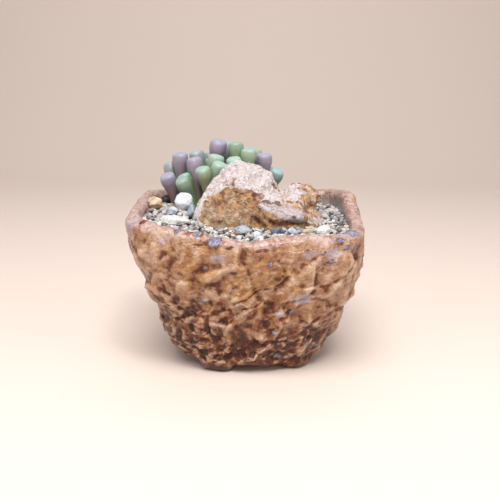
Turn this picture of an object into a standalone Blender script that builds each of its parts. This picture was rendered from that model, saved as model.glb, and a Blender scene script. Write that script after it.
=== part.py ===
"""Potted baby toes: a hand-built stoneware pot with gravel, a rock, pebbles and five heads of leaves."""

import math
import random

import bmesh
import bpy
from mathutils import Matrix, Vector, noise

# All sizes and places are in millimetres. Each mesh is written in metres.
MM = 0.001
SEAT_GAP = 0.35
FLAT_ENOUGH = math.radians(0.02)

# The front of the pot faces -Y. The origin is under its middle, on the surface that its feet stand on.
# Pot wall, outside: height, half width along X, half depth along Y, centre along X
WALL_LEVELS = (
    (3.0, 32.5, 26.0, 2.0),
    (14.0, 40.0, 31.5, 2.8),
    (24.0, 41.8, 35.5, 3.2),
    (34.0, 45.0, 39.7, 2.4),
    (43.0, 47.6, 43.0, 2.0),
    (51.0, 49.4, 45.3, 1.6),
    (59.0, 51.2, 46.8, 0.8),
    (67.0, 52.0, 47.0, 0.4),
    (76.0, 52.0, 46.0, 0.2),
)
# How square the wall is: 2 is an ellipse, and more is squarer
SQUARE_BASE = 2.3
SQUARE_RIM_FRONT = 3.4
SQUARE_RIM_BACK = 7.0
SQUARE_FULL_HEIGHT = 55.0
# Rim height by the angle round the pot, in degrees from +X
RIM_HEIGHTS = (
    (0, 72.0),
    (17, 75.0),
    (38, 75.0),
    (60, 73.2),
    (90, 72.2),
    (132, 73.6),
    (153, 75.4),
    (178, 74.0),
    (205, 73.2),
    (227, 71.6),
    (250, 68.0),
    (270, 65.6),
    (292, 68.2),
    (315, 67.6),
    (340, 69.6),
)
POT_SEGMENTS = 78
WALL_ROWS = 16
WALL_THICKNESS = 6.5
# Lip, from outside to inside: drop under the rim height, inset from the outside
LIP = ((1.6, 0.5), (0.3, 2.0), (0.1, 4.0), (1.0, 5.6), (3.0, WALL_THICKNESS))
LIP_DROP = 3.5
INNER_WALL_HEIGHTS = (60.0, 52.0, 42.0, 32.0, 22.0)
UNDERSIDE = 3.0
UNDERSIDE_INSET = 6.0
UNDERSIDE_ROUND = (0.5, 2.0)
WALL_START = 1.6
CAVITY_FLOOR = 10.5
CAVITY_ROUND = (2.5, 1.5)
FLOOR_INSET = WALL_THICKNESS + 4.5
DRAIN_CENTRE = (3.0, -0.4)
DRAIN_RADIUS = 5.0
FEET = ((-12.5, -19.5, 7.4), (23.5, -15.0, 6.6), (-16.0, 15.0, 7.0), (18.0, 17.0, 7.0))
FOOT_TOP = 7.0
FOOT_BEVEL = 1.0
FOOT_SIDES = 12

# Clay relief: slabs pressed on by hand, with creases between them
LUMP_SIZE = 27.0
LUMP_HEIGHT = 1.8
SLAB_SIZE = 14.0
SLAB_TILT = 0.46
TILT_SHUFFLE = 7.3
NO_TILT = Vector((0.5, 0.5, 0.5))
WARP_STRETCH = 1.3
WARP_SHARE = 0.45
WARP_SHIFTS = (Vector((5.2, 1.3, 8.4)), Vector((9.7, 6.1, 2.8)), Vector((3.4, 8.9, 5.5)))
CREASE_WIDTH = 0.34
CREASE_DEPTH = 1.9
SMOOTH_RIM = 18.0
RIM_RELIEF = 0.35

# Fill of the pot
MIX_TOP = 57.0
MIX_SEGMENTS = 32
SCREEN_HALF = 11.0
SCREEN_THICKNESS = 1.0
SCREEN_BAR = 2.0
SCREEN_HOLES = 4
GRAVEL_BOTTOM = MIX_TOP + SEAT_GAP
STONE_SPACING = 7.8
STONE_JITTER = 1.2
STONE_HEIGHT = 1.0
STONE_FLAT = 0.58
STONE_SEED = 11
GRAVEL_FRONT = 64.8
GRAVEL_RISE_BACK = 1.9
GRAVEL_RISE_LEFT = 3.3
GRAVEL_UNDER_RIM = 2.2
# Heap of gravel at the left, behind the slab: place in plan, spread and height
GRAVEL_BANK = (-27.0, -8.0, 15.0, 1.7)
FILL_CLEARANCE = 0.5

# Corner points of the three rough lumps that make the rock
ROCK_SUNK = 62.5
ROCK_PEAK = (
    (-3.0, -3.0, 94.2), (2.2, -2.0, 92.6), (7.0, -2.0, 90.6), (11.5, -2.0, 88.5), (-3.0, -0.5, 93.0),
    (-7.4, -4.0, 92.0), (-11.8, -5.0, 87.8), (-15.4, -6.5, 84.2), (-18.9, -9.0, 79.0), (-21.5, -11.0, 74.0),
    (-22.6, -13.0, 69.0), (-22.0, -12.0, ROCK_SUNK), (15.3, -1.0, 82.6), (18.0, -1.0, 78.0),
    (20.0, 0.0, 70.0), (20.0, 0.0, ROCK_SUNK), (-8.0, -12.5, 80.0), (6.0, -12.5, 80.0), (-16.0, -15.5, 72.0),
    (8.0, -17.0, 72.0), (-17.0, -18.0, ROCK_SUNK), (0.0, -19.5, ROCK_SUNK), (16.0, -18.0, ROCK_SUNK),
    (8.0, 1.0, 88.0), (-16.0, -2.5, 80.0), (-17.0, -2.0, ROCK_SUNK), (0.0, 4.0, ROCK_SUNK),
    (16.0, 5.0, ROCK_SUNK), (0.0, 2.0, 80.0), (12.0, 3.0, 78.0),
)
ROCK_SHOULDER = (
    (12.0, -4.0, 82.0), (19.0, -1.0, 83.0), (22.9, -1.0, 84.2), (27.7, 0.0, 82.8), (31.8, 0.0, 81.0),
    (35.0, -1.0, 78.2), (36.0, -3.0, 75.0), (35.0, -7.0, 70.0), (34.0, -9.0, ROCK_SUNK), (14.0, -12.0, 77.5),
    (28.0, -11.0, 76.5), (33.0, -7.0, 77.0), (18.0, 7.0, 72.0), (28.0, 7.0, 72.0), (34.0, 5.0, 70.0),
    (20.0, 5.0, 80.0), (30.0, 5.0, 78.0), (18.0, 8.0, ROCK_SUNK), (30.0, 8.0, ROCK_SUNK),
    (17.0, -15.0, ROCK_SUNK), (30.0, -14.5, ROCK_SUNK), (33.5, -14.0, 65.5), (34.5, -12.0, ROCK_SUNK),
)
ROCK_BAND = (
    (4.0, -14.0, 77.0), (4.0, -17.0, 72.0), (6.0, -16.0, 68.0), (16.0, -18.5, 76.0), (24.0, -17.5, 74.0),
    (29.0, -14.5, 70.0), (24.0, -19.0, 70.0), (14.0, -20.0, 71.0), (10.0, -18.5, 76.0), (8.0, -9.0, 80.0),
    (24.0, -9.0, 79.0), (10.0, -10.0, 66.5), (27.0, -10.0, 66.5),
)
ROCK_ROUGHNESS = 1.1
ROCK_GRAIN = 7.0
ROCK_CUTS = 2

# Heads of the plant: crown centre, then each leaf as its tip and its widest radius
ROSETTES = {
    "rosette_left": (
        (-32.5, 18.5),
        (
            ((-37.6, 15.0, 83.0), 3.9),
            ((-38.6, 25.5, 86.4), 3.7),
            ((-32.4, 20.5, 92.0), 4.0),
            ((-33.5, 30.5, 84.0), 3.6),
            ((-29.4, 27.0, 80.5), 3.1),
        ),
    ),
    "rosette_front": (
        (-20.5, 7.5),
        (
            ((-29.0, 2.5, 82.4), 3.5),
            ((-28.2, 9.6, 84.2), 3.6),
            ((-24.0, 12.5, 90.7), 4.0),
            ((-19.6, 3.5, 87.2), 3.9),
            ((-12.4, 6.4, 88.9), 4.2),
            ((-14.6, 12.8, 92.0), 4.0),
        ),
    ),
    "rosette_back": (
        (-18.5, 25.0),
        (
            ((-24.3, 28.0, 92.8), 3.9),
            ((-18.4, 33.0, 91.6), 3.7),
            ((-13.6, 22.0, 97.2), 4.2),
            ((-9.4, 31.0, 96.4), 3.7),
            ((-25.0, 34.5, 83.0), 3.6),
            ((-12.5, 35.0, 85.0), 3.6),
            ((-17.5, 27.0, 89.0), 3.4),
        ),
    ),
    "rosette_middle": (
        (-2.5, 14.5),
        (
            ((-5.6, 9.6, 91.8), 3.9),
            ((-5.2, 19.5, 96.6), 4.1),
            ((1.4, 17.0, 94.4), 4.0),
            ((3.5, 10.0, 85.0), 3.4),
            ((-2.4, 24.5, 88.0), 3.6),
            ((-8.4, 16.0, 83.0), 3.1),
        ),
    ),
    "rosette_right": (
        (8.0, 25.5),
        (
            ((4.4, 29.5, 93.4), 3.7),
            ((8.6, 23.5, 91.6), 4.1),
            ((15.6, 21.5, 83.8), 3.8),
            ((1.5, 35.0, 84.0), 3.6),
            ((11.5, 32.0, 84.0), 3.7),
            ((16.0, 29.5, 79.5), 3.5),
        ),
    ),
}
CROWN_RADIUS = 4.4
CROWN_TOP = 72.5
CROWN_FLARE = 2.8
CROWN_SIDES = 10
ROOT_TIP = 36.0
ROOT_TIP_RADIUS = 1.3
LEAF_START = 70.0
LEAF_SIDES = 8
LEAF_FOOT_RADIUS = 2.0
LEAF_FOOT_SPREAD = 2.0
# Leaf outline: the share of the way to the tip's centre, and the share of the widest radius
LEAF_PROFILE = ((0.0, 0.52), (0.35, 0.62), (0.7, 0.84), (0.95, 1.0))
# Window tip: height over the tip's centre and radius, as shares of the widest radius
TIP_PROFILE = ((0.42, 0.93), (0.78, 0.58))

# Loose pebbles: centre in plan, size along its own axes, turn in degrees, how deep it sits, colour
PEBBLES = {
    "pebble_white": ((-28.0, -4.0), (8.8, 8.2, 8.6), 10, 0.9, (0.80, 0.83, 0.88)),
    "pebble_grey_blue": ((-33.0, -10.0), (5.4, 4.4, 3.8), 25, 0.9, (0.42, 0.46, 0.55)),
    "pebble_long": ((-24.8, -12.5), (3.8, 5.6, 4.4), -20, 0.9, (0.46, 0.51, 0.57)),
    "pebble_slab": ((-29.5, -22.0), (13.0, 8.0, 4.2), -18, 1.1, (0.72, 0.72, 0.70)),
    "pebble_beige": ((-41.2, 5.0), (8.8, 7.0, 6.2), 15, 1.0, (0.62, 0.50, 0.37)),
    "pebble_black": ((-41.0, 16.5), (4.8, 4.6, 4.4), 0, 0.9, (0.03, 0.03, 0.03)),
    "pebble_front_blue": ((-0.8, -26.5), (7.4, 5.0, 4.2), 5, 0.9, (0.46, 0.52, 0.56)),
    "pebble_front_round": ((5.0, -31.5), (3.8, 3.4, 3.2), 0, 0.8, (0.66, 0.70, 0.73)),
    "pebble_front_dark": ((13.6, -26.8), (6.2, 4.4, 3.8), 8, 0.9, (0.24, 0.27, 0.35)),
    "pebble_front_pale": ((20.0, -27.2), (4.4, 3.8, 3.4), -10, 0.8, (0.52, 0.58, 0.64)),
    "pebble_front_tan": ((26.8, -26.6), (6.0, 4.4, 3.6), 12, 0.9, (0.55, 0.47, 0.36)),
    "pebble_front_white": ((33.6, -25.6), (6.8, 5.0, 4.4), -8, 0.9, (0.80, 0.80, 0.78)),
}
PEBBLE_ROUGHNESS = 0.05


def clear_scene():
    for item in list(bpy.data.objects):
        bpy.data.objects.remove(item, do_unlink=True)


def make_material(name, colour, roughness):
    material = bpy.data.materials.new(name)
    material.use_nodes = True
    shader = material.node_tree.nodes["Principled BSDF"]
    shader.inputs["Base Color"].default_value = (*colour, 1.0)
    shader.inputs["Roughness"].default_value = roughness
    shader.inputs["Metallic"].default_value = 0.0
    return material


def object_from(name, bm):
    """Make an object of a mesh drawn in millimetres, with flat faces that point out."""
    bmesh.ops.connect_verts_nonplanar(bm, angle_limit=FLAT_ENOUGH, faces=bm.faces[:])
    bmesh.ops.recalc_face_normals(bm, faces=bm.faces)
    bmesh.ops.scale(bm, vec=(MM, MM, MM), verts=bm.verts)
    mesh = bpy.data.meshes.new(name)
    bm.to_mesh(mesh)
    bm.free()
    item = bpy.data.objects.new(name, mesh)
    bpy.context.collection.objects.link(item)
    return item


def finish_piece(item, colour, roughness, smooth_angle=50):
    item.data.materials.clear()
    item.data.materials.append(make_material(item.name, colour, roughness))
    item.data.shade_smooth()
    item.data.set_sharp_from_angle(angle=math.radians(smooth_angle))


def combine(target, tools, operation):
    """Join or cut the target with a group of tool objects in one Boolean, then drop the tools."""
    group = bpy.data.collections.new("tools")
    bpy.context.scene.collection.children.link(group)
    for tool in tools:
        group.objects.link(tool)
        tool.hide_render = True
        tool.display_type = "WIRE"
    boolean = target.modifiers.new(operation.title(), "BOOLEAN")
    boolean.operation = operation
    boolean.operand_type = "COLLECTION"
    boolean.collection = group
    bpy.context.view_layer.objects.active = target
    bpy.ops.object.modifier_apply(modifier=boolean.name)
    for tool in tools:
        bpy.data.objects.remove(tool, do_unlink=True)
    bpy.data.collections.remove(group)


def curve_value(points, at, column=1, period=None):
    """Read a smooth curve through the points of a table: Catmull-Rom, closed if it has a period."""
    count = len(points)
    places = [point[0] for point in points]
    if period is None:
        at = min(max(at, places[0]), places[-1])
    else:
        at = (at - places[0]) % period + places[0]
    after = next((i for i, place in enumerate(places) if place > at), count)
    if period is None:
        after = min(after, count - 1)

    def knot(index):
        if period is None:
            index = min(max(index, 0), count - 1)
            return places[index], points[index][column]
        return places[index % count] + period * (index // count), points[index % count][column]

    (x0, y0), (x1, y1), (x2, y2), (x3, y3) = (knot(after + step) for step in (-2, -1, 0, 1))
    t = (at - x1) / (x2 - x1)
    slope1 = (y2 - y0) / (x2 - x0) * (x2 - x1)
    slope2 = (y3 - y1) / (x3 - x1) * (x2 - x1)
    return (
        (2 * t**3 - 3 * t**2 + 1) * y1
        + (t**3 - 2 * t**2 + t) * slope1
        + (3 * t**2 - 2 * t**3) * y2
        + (t**3 - t**2) * slope2
    )


def smooth_step(low, high, value):
    t = min(max((value - low) / (high - low), 0.0), 1.0)
    return t * t * (3.0 - 2.0 * t)


def rim_height(angle):
    return curve_value(RIM_HEIGHTS, math.degrees(angle) % 360, period=360)


def wall_point(angle, height, inset=0.0):
    """Point of the smooth pot wall, moved in from the outside by the inset."""
    half_x = curve_value(WALL_LEVELS, height, 1) - inset
    half_y = curve_value(WALL_LEVELS, height, 2) - inset
    centre_x = curve_value(WALL_LEVELS, height, 3)
    rim_square = (SQUARE_RIM_FRONT + SQUARE_RIM_BACK) / 2
    rim_square += (SQUARE_RIM_BACK - SQUARE_RIM_FRONT) / 2 * math.sin(angle)
    power = SQUARE_BASE + (rim_square - SQUARE_BASE) * smooth_step(0.0, SQUARE_FULL_HEIGHT, height)
    cos, sin = math.cos(angle), math.sin(angle)
    radius = (abs(cos / half_x) ** power + abs(sin / half_y) ** power) ** (-1.0 / power)
    return Vector((centre_x + radius * cos, radius * sin, height))


def clay_relief(point):
    """Height of the hand-pressed clay over the smooth wall: broad lumps, tilted slabs and creases."""
    lumps = noise.noise(point / LUMP_SIZE) * LUMP_HEIGHT
    place = point / SLAB_SIZE
    warp = Vector(noise.noise(place / WARP_STRETCH + shift) for shift in WARP_SHIFTS)
    place += warp * WARP_SHARE
    distances, centres = noise.voronoi(place)
    tilt = noise.cell_vector(centres[0] * TILT_SHUFFLE) - NO_TILT
    slab = tilt.dot(place - centres[0]) * SLAB_TILT * SLAB_SIZE
    crease = 1.0 - smooth_step(0.0, CREASE_WIDTH, distances[1] - distances[0])
    return lumps + slab - CREASE_DEPTH * crease


def add_rings(bm, rings, closed):
    """Skin a list of equal rings with quads. A closed list joins the last ring to the first."""
    loops = [[bm.verts.new(point) for point in ring] for ring in rings]
    pairs = list(zip(loops, loops[1:]))
    if closed:
        pairs.append((loops[-1], loops[0]))
    for low, high in pairs:
        for i in range(len(low)):
            j = (i + 1) % len(low)
            bm.faces.new((low[i], low[j], high[j], high[i]))
    return loops


def add_stack(bm, rings):
    """Skin a stack of rings and close both ends with a flat face."""
    loops = add_rings(bm, rings, closed=False)
    bm.faces.new(list(reversed(loops[0])))
    bm.faces.new(loops[-1])


def circle_point(centre, radius, angle, height):
    return Vector((centre[0] + radius * math.cos(angle), centre[1] + radius * math.sin(angle), height))


def full_turn(count):
    return [2 * math.pi * i / count for i in range(count)]


def circle(centre, radius, height, sides):
    return [circle_point(centre, radius, angle, height) for angle in full_turn(sides)]


def outer_wall_point(angle, share):
    """Point of the rough outside. The share runs from the underside, 0, to just under the lip, 1."""
    low, high = UNDERSIDE + WALL_START, rim_height(angle) - LIP_DROP
    smooth = wall_point(angle, low + (high - low) * share)
    below_rim = rim_height(angle) - smooth.z
    rough = RIM_RELIEF + (1.0 - RIM_RELIEF) * smooth_step(0.0, SMOOTH_RIM, below_rim)
    outward = Vector((math.cos(angle), math.sin(angle), 0.0))
    return smooth + outward * clay_relief(smooth) * rough


def build_foot(x, y, radius):
    bm = bmesh.new()
    levels = ((0.0, radius - FOOT_BEVEL), (FOOT_BEVEL, radius), (FOOT_TOP, radius + FOOT_BEVEL))
    add_stack(bm, [circle((x, y), r, z, FOOT_SIDES) for z, r in levels])
    return object_from("foot", bm)


def build_pot():
    angles = full_turn(POT_SEGMENTS)

    def from_wall(height, inset):
        return [wall_point(angle, height, inset) for angle in angles]

    def from_rim(drop, inset):
        return [wall_point(angle, rim_height(angle) - drop, inset) for angle in angles]

    def toward_drain(height, inset, share):
        drain = circle(DRAIN_CENTRE, DRAIN_RADIUS, height, POT_SEGMENTS)
        return [hole.lerp(edge, share) for hole, edge in zip(drain, from_wall(height, inset))]

    rings = [toward_drain(UNDERSIDE, UNDERSIDE_INSET, share) for share in (0.0, 0.5, 1.0)]
    rings.append(from_wall(UNDERSIDE + UNDERSIDE_ROUND[0], UNDERSIDE_ROUND[1]))
    rings += [[outer_wall_point(angle, row / WALL_ROWS) for angle in angles] for row in range(WALL_ROWS + 1)]
    rings += [from_rim(drop, inset) for drop, inset in LIP]
    rings += [from_wall(height, WALL_THICKNESS) for height in INNER_WALL_HEIGHTS]
    rings.append(from_wall(CAVITY_FLOOR + CAVITY_ROUND[0], WALL_THICKNESS + CAVITY_ROUND[1]))
    rings += [toward_drain(CAVITY_FLOOR, FLOOR_INSET, share) for share in (1.0, 0.5, 0.0)]
    bm = bmesh.new()
    add_rings(bm, rings, closed=True)
    pot = object_from("pot", bm)
    combine(pot, [build_foot(*foot) for foot in FEET], "UNION")
    finish_piece(pot, (0.42, 0.24, 0.14), 0.35, smooth_angle=32)


def build_drain_screen():
    """Square plastic mesh that lies over the drain hole."""
    pitch = (2 * SCREEN_HALF - SCREEN_BAR) / SCREEN_HOLES
    lines = []
    for i in range(SCREEN_HOLES + 1):
        lines += [-SCREEN_HALF + i * pitch, -SCREEN_HALF + i * pitch + SCREEN_BAR]
    bm = bmesh.new()
    bottom = CAVITY_FLOOR + SEAT_GAP
    grid = {}
    for i, x in enumerate(lines):
        for j, y in enumerate(lines):
            grid[i, j] = bm.verts.new((DRAIN_CENTRE[0] + x, DRAIN_CENTRE[1] + y, bottom))
    for i in range(len(lines) - 1):
        for j in range(len(lines) - 1):
            if i % 2 == 0 or j % 2 == 0:
                bm.faces.new((grid[i, j], grid[i + 1, j], grid[i + 1, j + 1], grid[i, j + 1]))
    raised = bmesh.ops.extrude_face_region(bm, geom=bm.faces[:])["geom"]
    upper = [part for part in raised if isinstance(part, bmesh.types.BMVert)]
    bmesh.ops.translate(bm, vec=(0.0, 0.0, SCREEN_THICKNESS), verts=upper)
    screen = object_from("drain_screen", bm)
    finish_piece(screen, (0.03, 0.03, 0.03), 0.6)


def box_object(name, low, high):
    bm = bmesh.new()
    bmesh.ops.create_cube(bm, size=1.0)
    bmesh.ops.scale(bm, vec=[b - a for a, b in zip(low, high)], verts=bm.verts)
    bmesh.ops.translate(bm, vec=[(a + b) / 2 for a, b in zip(low, high)], verts=bm.verts)
    return object_from(name, bm)


def crown_rings(centre, grow):
    """Taproot and crown of one head. Grown, they are the plain hole that they stand in."""
    levels = [(ROOT_TIP - grow, ROOT_TIP_RADIUS), (LEAF_START - 1.5, CROWN_RADIUS)]
    if grow:
        flared = CROWN_RADIUS + CROWN_FLARE
        levels += [(LEAF_START + 2.5, flared), (LEAF_START + 6.0, flared)]
    else:
        levels += [(CROWN_TOP - 1.5, CROWN_RADIUS - 0.3), (CROWN_TOP, CROWN_RADIUS - 1.6)]
    return [circle(centre, radius + grow, height, CROWN_SIDES) for height, radius in levels]


def crown_hole(centre):
    bm = bmesh.new()
    add_stack(bm, crown_rings(centre, SEAT_GAP))
    return object_from("crown_hole", bm)


def build_potting_mix():
    turn = full_turn(MIX_SEGMENTS)
    levels = [(CAVITY_FLOOR + SEAT_GAP, FLOOR_INSET)]
    levels.append((CAVITY_FLOOR + CAVITY_ROUND[0] + SEAT_GAP, WALL_THICKNESS + CAVITY_ROUND[1]))
    levels += [(height, WALL_THICKNESS) for height in reversed(INNER_WALL_HEIGHTS[1:])]
    levels.append((MIX_TOP, WALL_THICKNESS))
    bm = bmesh.new()
    add_stack(bm, [[wall_point(a, height, inset + FILL_CLEARANCE) for a in turn] for height, inset in levels])
    mix = object_from("potting_mix", bm)
    reach = SCREEN_HALF + SEAT_GAP
    screen_top = CAVITY_FLOOR + SEAT_GAP + SCREEN_THICKNESS
    low = (DRAIN_CENTRE[0] - reach, DRAIN_CENTRE[1] - reach, CAVITY_FLOOR - 1.0)
    high = (DRAIN_CENTRE[0] + reach, DRAIN_CENTRE[1] + reach, screen_top + SEAT_GAP)
    tools = [box_object("screen_space", low, high)]
    tools += [crown_hole(centre) for centre, leaves in ROSETTES.values()]
    combine(mix, tools, "DIFFERENCE")
    finish_piece(mix, (0.10, 0.06, 0.04), 0.95)


def gravel_level(x, y):
    """Mean height of the gravel: low at the front, banked up round the plant at the left and back."""
    level = GRAVEL_FRONT + GRAVEL_RISE_BACK * smooth_step(-34.0, 14.0, y)
    level += GRAVEL_RISE_LEFT * (1.0 - smooth_step(-24.0, 4.0, x))
    bank_x, bank_y, bank_spread, bank_height = GRAVEL_BANK
    level += bank_height * math.exp(-((x - bank_x) ** 2 + (y - bank_y) ** 2) / bank_spread**2)
    angle = math.atan2(y, x)
    edge = wall_point(angle, 62.0, WALL_THICKNESS)
    from_middle = math.hypot(x, y) / math.hypot(edge.x, edge.y)
    excess = max(0.0, level - (rim_height(angle) - GRAVEL_UNDER_RIM))
    return level - excess * smooth_step(0.6, 0.92, from_middle)


def add_stone_relief(bm):
    """Cover the pot's opening with one low stone for each cell of a jittered honeycomb."""
    draw = random.Random(STONE_SEED)
    step_x, step_y = STONE_SPACING, STONE_SPACING * math.sqrt(3) / 2
    columns, rows = int(56 / step_x), int(50 / step_y)
    sites = {}
    for row in range(-rows, rows + 1):
        for column in range(-columns, columns + 1):
            x = (column + 0.5 * (row % 2)) * step_x + draw.uniform(-STONE_JITTER, STONE_JITTER)
            y = row * step_y + draw.uniform(-STONE_JITTER, STONE_JITTER)
            sites[column, row] = Vector((x, y, STONE_HEIGHT * draw.uniform(0.7, 1.3)))

    def neighbours(column, row):
        lean = row % 2
        around = ((1, 0), (lean, 1), (lean - 1, 1), (-1, 0), (lean - 1, -1), (lean, -1))
        return [(column + dx, row + dy) for dx, dy in around]

    dips = {}

    def dip_between(cells):
        key = tuple(sorted(cells))
        if key not in dips:
            middle = sum((sites[cell] for cell in cells), Vector()) / 3
            height = gravel_level(middle.x, middle.y) - STONE_HEIGHT * 0.7
            dips[key] = bm.verts.new((middle.x, middle.y, height))
        return dips[key]

    for cell, site in sites.items():
        near = neighbours(*cell)
        if any(other not in sites for other in near):
            continue
        corners = [dip_between((cell, near[i], near[(i + 1) % 6])) for i in range(6)]
        top = gravel_level(site.x, site.y) + site.z
        crest = []
        for corner in corners:
            place = site.lerp(corner.co, STONE_FLAT)
            crest.append(bm.verts.new((place.x, place.y, top)))
        bm.faces.new(crest)
        for i in range(6):
            j = (i + 1) % 6
            bm.faces.new((crest[i], corners[i], corners[j], crest[j]))


def build_gravel_bed():
    bm = bmesh.new()
    add_stone_relief(bm)
    border = [edge for edge in bm.edges if edge.is_boundary]
    skirt = bmesh.ops.extrude_edge_only(bm, edges=border)["geom"]
    low_edges = [part for part in skirt if isinstance(part, bmesh.types.BMEdge) and part.is_boundary]
    for vert in {vert for edge in low_edges for vert in edge.verts}:
        vert.co.z = GRAVEL_BOTTOM
    bmesh.ops.contextual_create(bm, geom=low_edges)
    gravel = object_from("gravel_bed", bm)

    bm = bmesh.new()
    turn = full_turn(MIX_SEGMENTS)
    inset = WALL_THICKNESS + FILL_CLEARANCE
    levels = (GRAVEL_BOTTOM - 2.0, 64.0, 76.0)
    add_stack(bm, [[wall_point(angle, height, inset) for angle in turn] for height in levels])
    combine(gravel, [object_from("opening", bm)], "INTERSECT")

    tools = [crown_hole(centre) for centre, leaves in ROSETTES.values()]
    lumps = (ROCK_PEAK, ROCK_SHOULDER, ROCK_BAND)
    tools += [rock_lump("rock_seat", corners, SEAT_GAP, cuts=0) for corners in lumps]
    tools += [pebble_body("pebble_seat", *values[:4], grow=SEAT_GAP) for values in PEBBLES.values()]
    combine(gravel, tools, "DIFFERENCE")
    finish_piece(gravel, (0.52, 0.48, 0.44), 0.8, smooth_angle=30)


def rock_lump(name, corners, grow, cuts):
    """Convex lump round its corner points. Cuts give it a rough skin, and a grown one is a seat."""
    bm = bmesh.new()
    for corner in corners:
        bm.verts.new(corner)
    bmesh.ops.convex_hull(bm, input=bm.verts)
    bmesh.ops.delete(bm, geom=[vert for vert in bm.verts if not vert.link_faces], context="VERTS")
    bmesh.ops.recalc_face_normals(bm, faces=bm.faces)
    if cuts:
        bmesh.ops.subdivide_edges(bm, edges=bm.edges[:], cuts=cuts, use_grid_fill=True)
        bmesh.ops.triangulate(bm, faces=bm.faces[:])
        bm.normal_update()
        for vert in bm.verts:
            rough = noise.noise(vert.co / ROCK_GRAIN) + 0.5 * noise.noise(vert.co / (ROCK_GRAIN * 0.4))
            rough *= smooth_step(ROCK_SUNK, ROCK_SUNK + 5.0, vert.co.z)
            vert.co += vert.normal * rough * ROCK_ROUGHNESS
    else:
        middle = sum((vert.co for vert in bm.verts), Vector()) / len(bm.verts)
        for vert in bm.verts:
            away = vert.co - middle
            away.z = min(away.z, 0.0)
            vert.co += away.normalized() * (grow + ROCK_ROUGHNESS * 0.8)
    return object_from(name, bm)


def build_rock():
    rock = rock_lump("rock", ROCK_PEAK, 0.0, ROCK_CUTS)
    others = [rock_lump("lump", corners, 0.0, ROCK_CUTS) for corners in (ROCK_SHOULDER, ROCK_BAND)]
    combine(rock, others, "UNION")
    finish_piece(rock, (0.55, 0.42, 0.33), 0.9, smooth_angle=35)


def pebble_body(name, place, size, turn, depth, grow=0.0):
    """Water-worn stone, a lumpy ellipsoid that sits a little way into the gravel."""
    bm = bmesh.new()
    bmesh.ops.create_icosphere(bm, subdivisions=2, radius=1.0)
    middle = Vector((place[0], place[1], gravel_level(*place) + size[2] / 2 - depth))
    half = Vector(size) / 2
    for vert in bm.verts:
        lump = 1.0 if grow else 1.0 + PEBBLE_ROUGHNESS * noise.noise(vert.co * 1.5 + middle)
        spread = 1.0 if not grow else 1.0 + PEBBLE_ROUGHNESS
        vert.co = Vector(vert.co[axis] * (half[axis] * lump * spread + grow) for axis in range(3))
    bmesh.ops.rotate(bm, cent=(0, 0, 0), matrix=Matrix.Rotation(math.radians(turn), 3, "Z"), verts=bm.verts)
    bmesh.ops.translate(bm, vec=middle, verts=bm.verts)
    return object_from(name, bm)


def build_pebbles():
    for name, (place, size, turn, depth, colour) in PEBBLES.items():
        pebble = pebble_body(name, place, size, turn, depth)
        finish_piece(pebble, colour, 0.5)


def leaf_body(crown, tip, radius):
    """Club-shaped leaf: slim at the crown, widest near the flat window tip."""
    tip = Vector(tip)
    lean = Vector((tip.x - crown[0], tip.y - crown[1], 0.0))
    foot = Vector((crown[0], crown[1], LEAF_START)) + lean.normalized() * LEAF_FOOT_SPREAD
    bend = foot.lerp(tip, 0.5) + Vector((0.0, 0.0, 0.06 * (tip - foot).length)) - lean * 0.12

    def along(t):
        return foot * (1 - t) ** 2 + bend * 2 * t * (1 - t) + tip * t**2

    rings = []
    for share, width in LEAF_PROFILE:
        heading = (along(share + 0.02) - along(share - 0.02)).normalized()
        wide = max(radius * width, LEAF_FOOT_RADIUS)
        rings.append(tilted_ring(along(share), heading, wide))
    heading = (along(1.0) - along(0.96)).normalized()
    for rise, width in TIP_PROFILE:
        rings.append(tilted_ring(tip + heading * radius * rise, heading, radius * width))
    bm = bmesh.new()
    add_stack(bm, rings)
    return object_from("leaf", bm)


def tilted_ring(centre, heading, radius):
    side = heading.cross(Vector((0.0, 1.0, 0.0))).normalized()
    other = heading.cross(side)
    return [
        centre + (side * math.cos(a) + other * math.sin(a)) * radius
        for a in full_turn(LEAF_SIDES)
    ]


def build_rosettes():
    colours = {
        "rosette_left": (0.30, 0.26, 0.31),
        "rosette_front": (0.30, 0.36, 0.28),
        "rosette_back": (0.28, 0.29, 0.32),
        "rosette_middle": (0.28, 0.36, 0.24),
        "rosette_right": (0.29, 0.34, 0.36),
    }
    for name, (centre, leaves) in ROSETTES.items():
        bm = bmesh.new()
        add_stack(bm, crown_rings(centre, 0.0))
        head = object_from(name, bm)
        combine(head, [leaf_body(centre, tip, radius) for tip, radius in leaves], "UNION")
        finish_piece(head, colours[name], 0.45)


def main():
    clear_scene()
    build_pot()
    build_drain_screen()
    build_potting_mix()
    build_gravel_bed()
    build_rock()
    build_pebbles()
    build_rosettes()


if __name__ == "__main__":
    main()
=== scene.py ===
"""Potted baby toes, dressed: fine clay, loose gravel, a stained rock, pebbles and window leaves."""

import random
from contextlib import contextmanager
from functools import reduce
from math import atan2, copysign, cos, degrees, dist, exp, hypot, radians, sin, sqrt, tau

import bmesh
import bpy
import numpy as np
from mathutils import Euler, Matrix, Vector, noise
from mathutils.bvhtree import BVHTree


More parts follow.
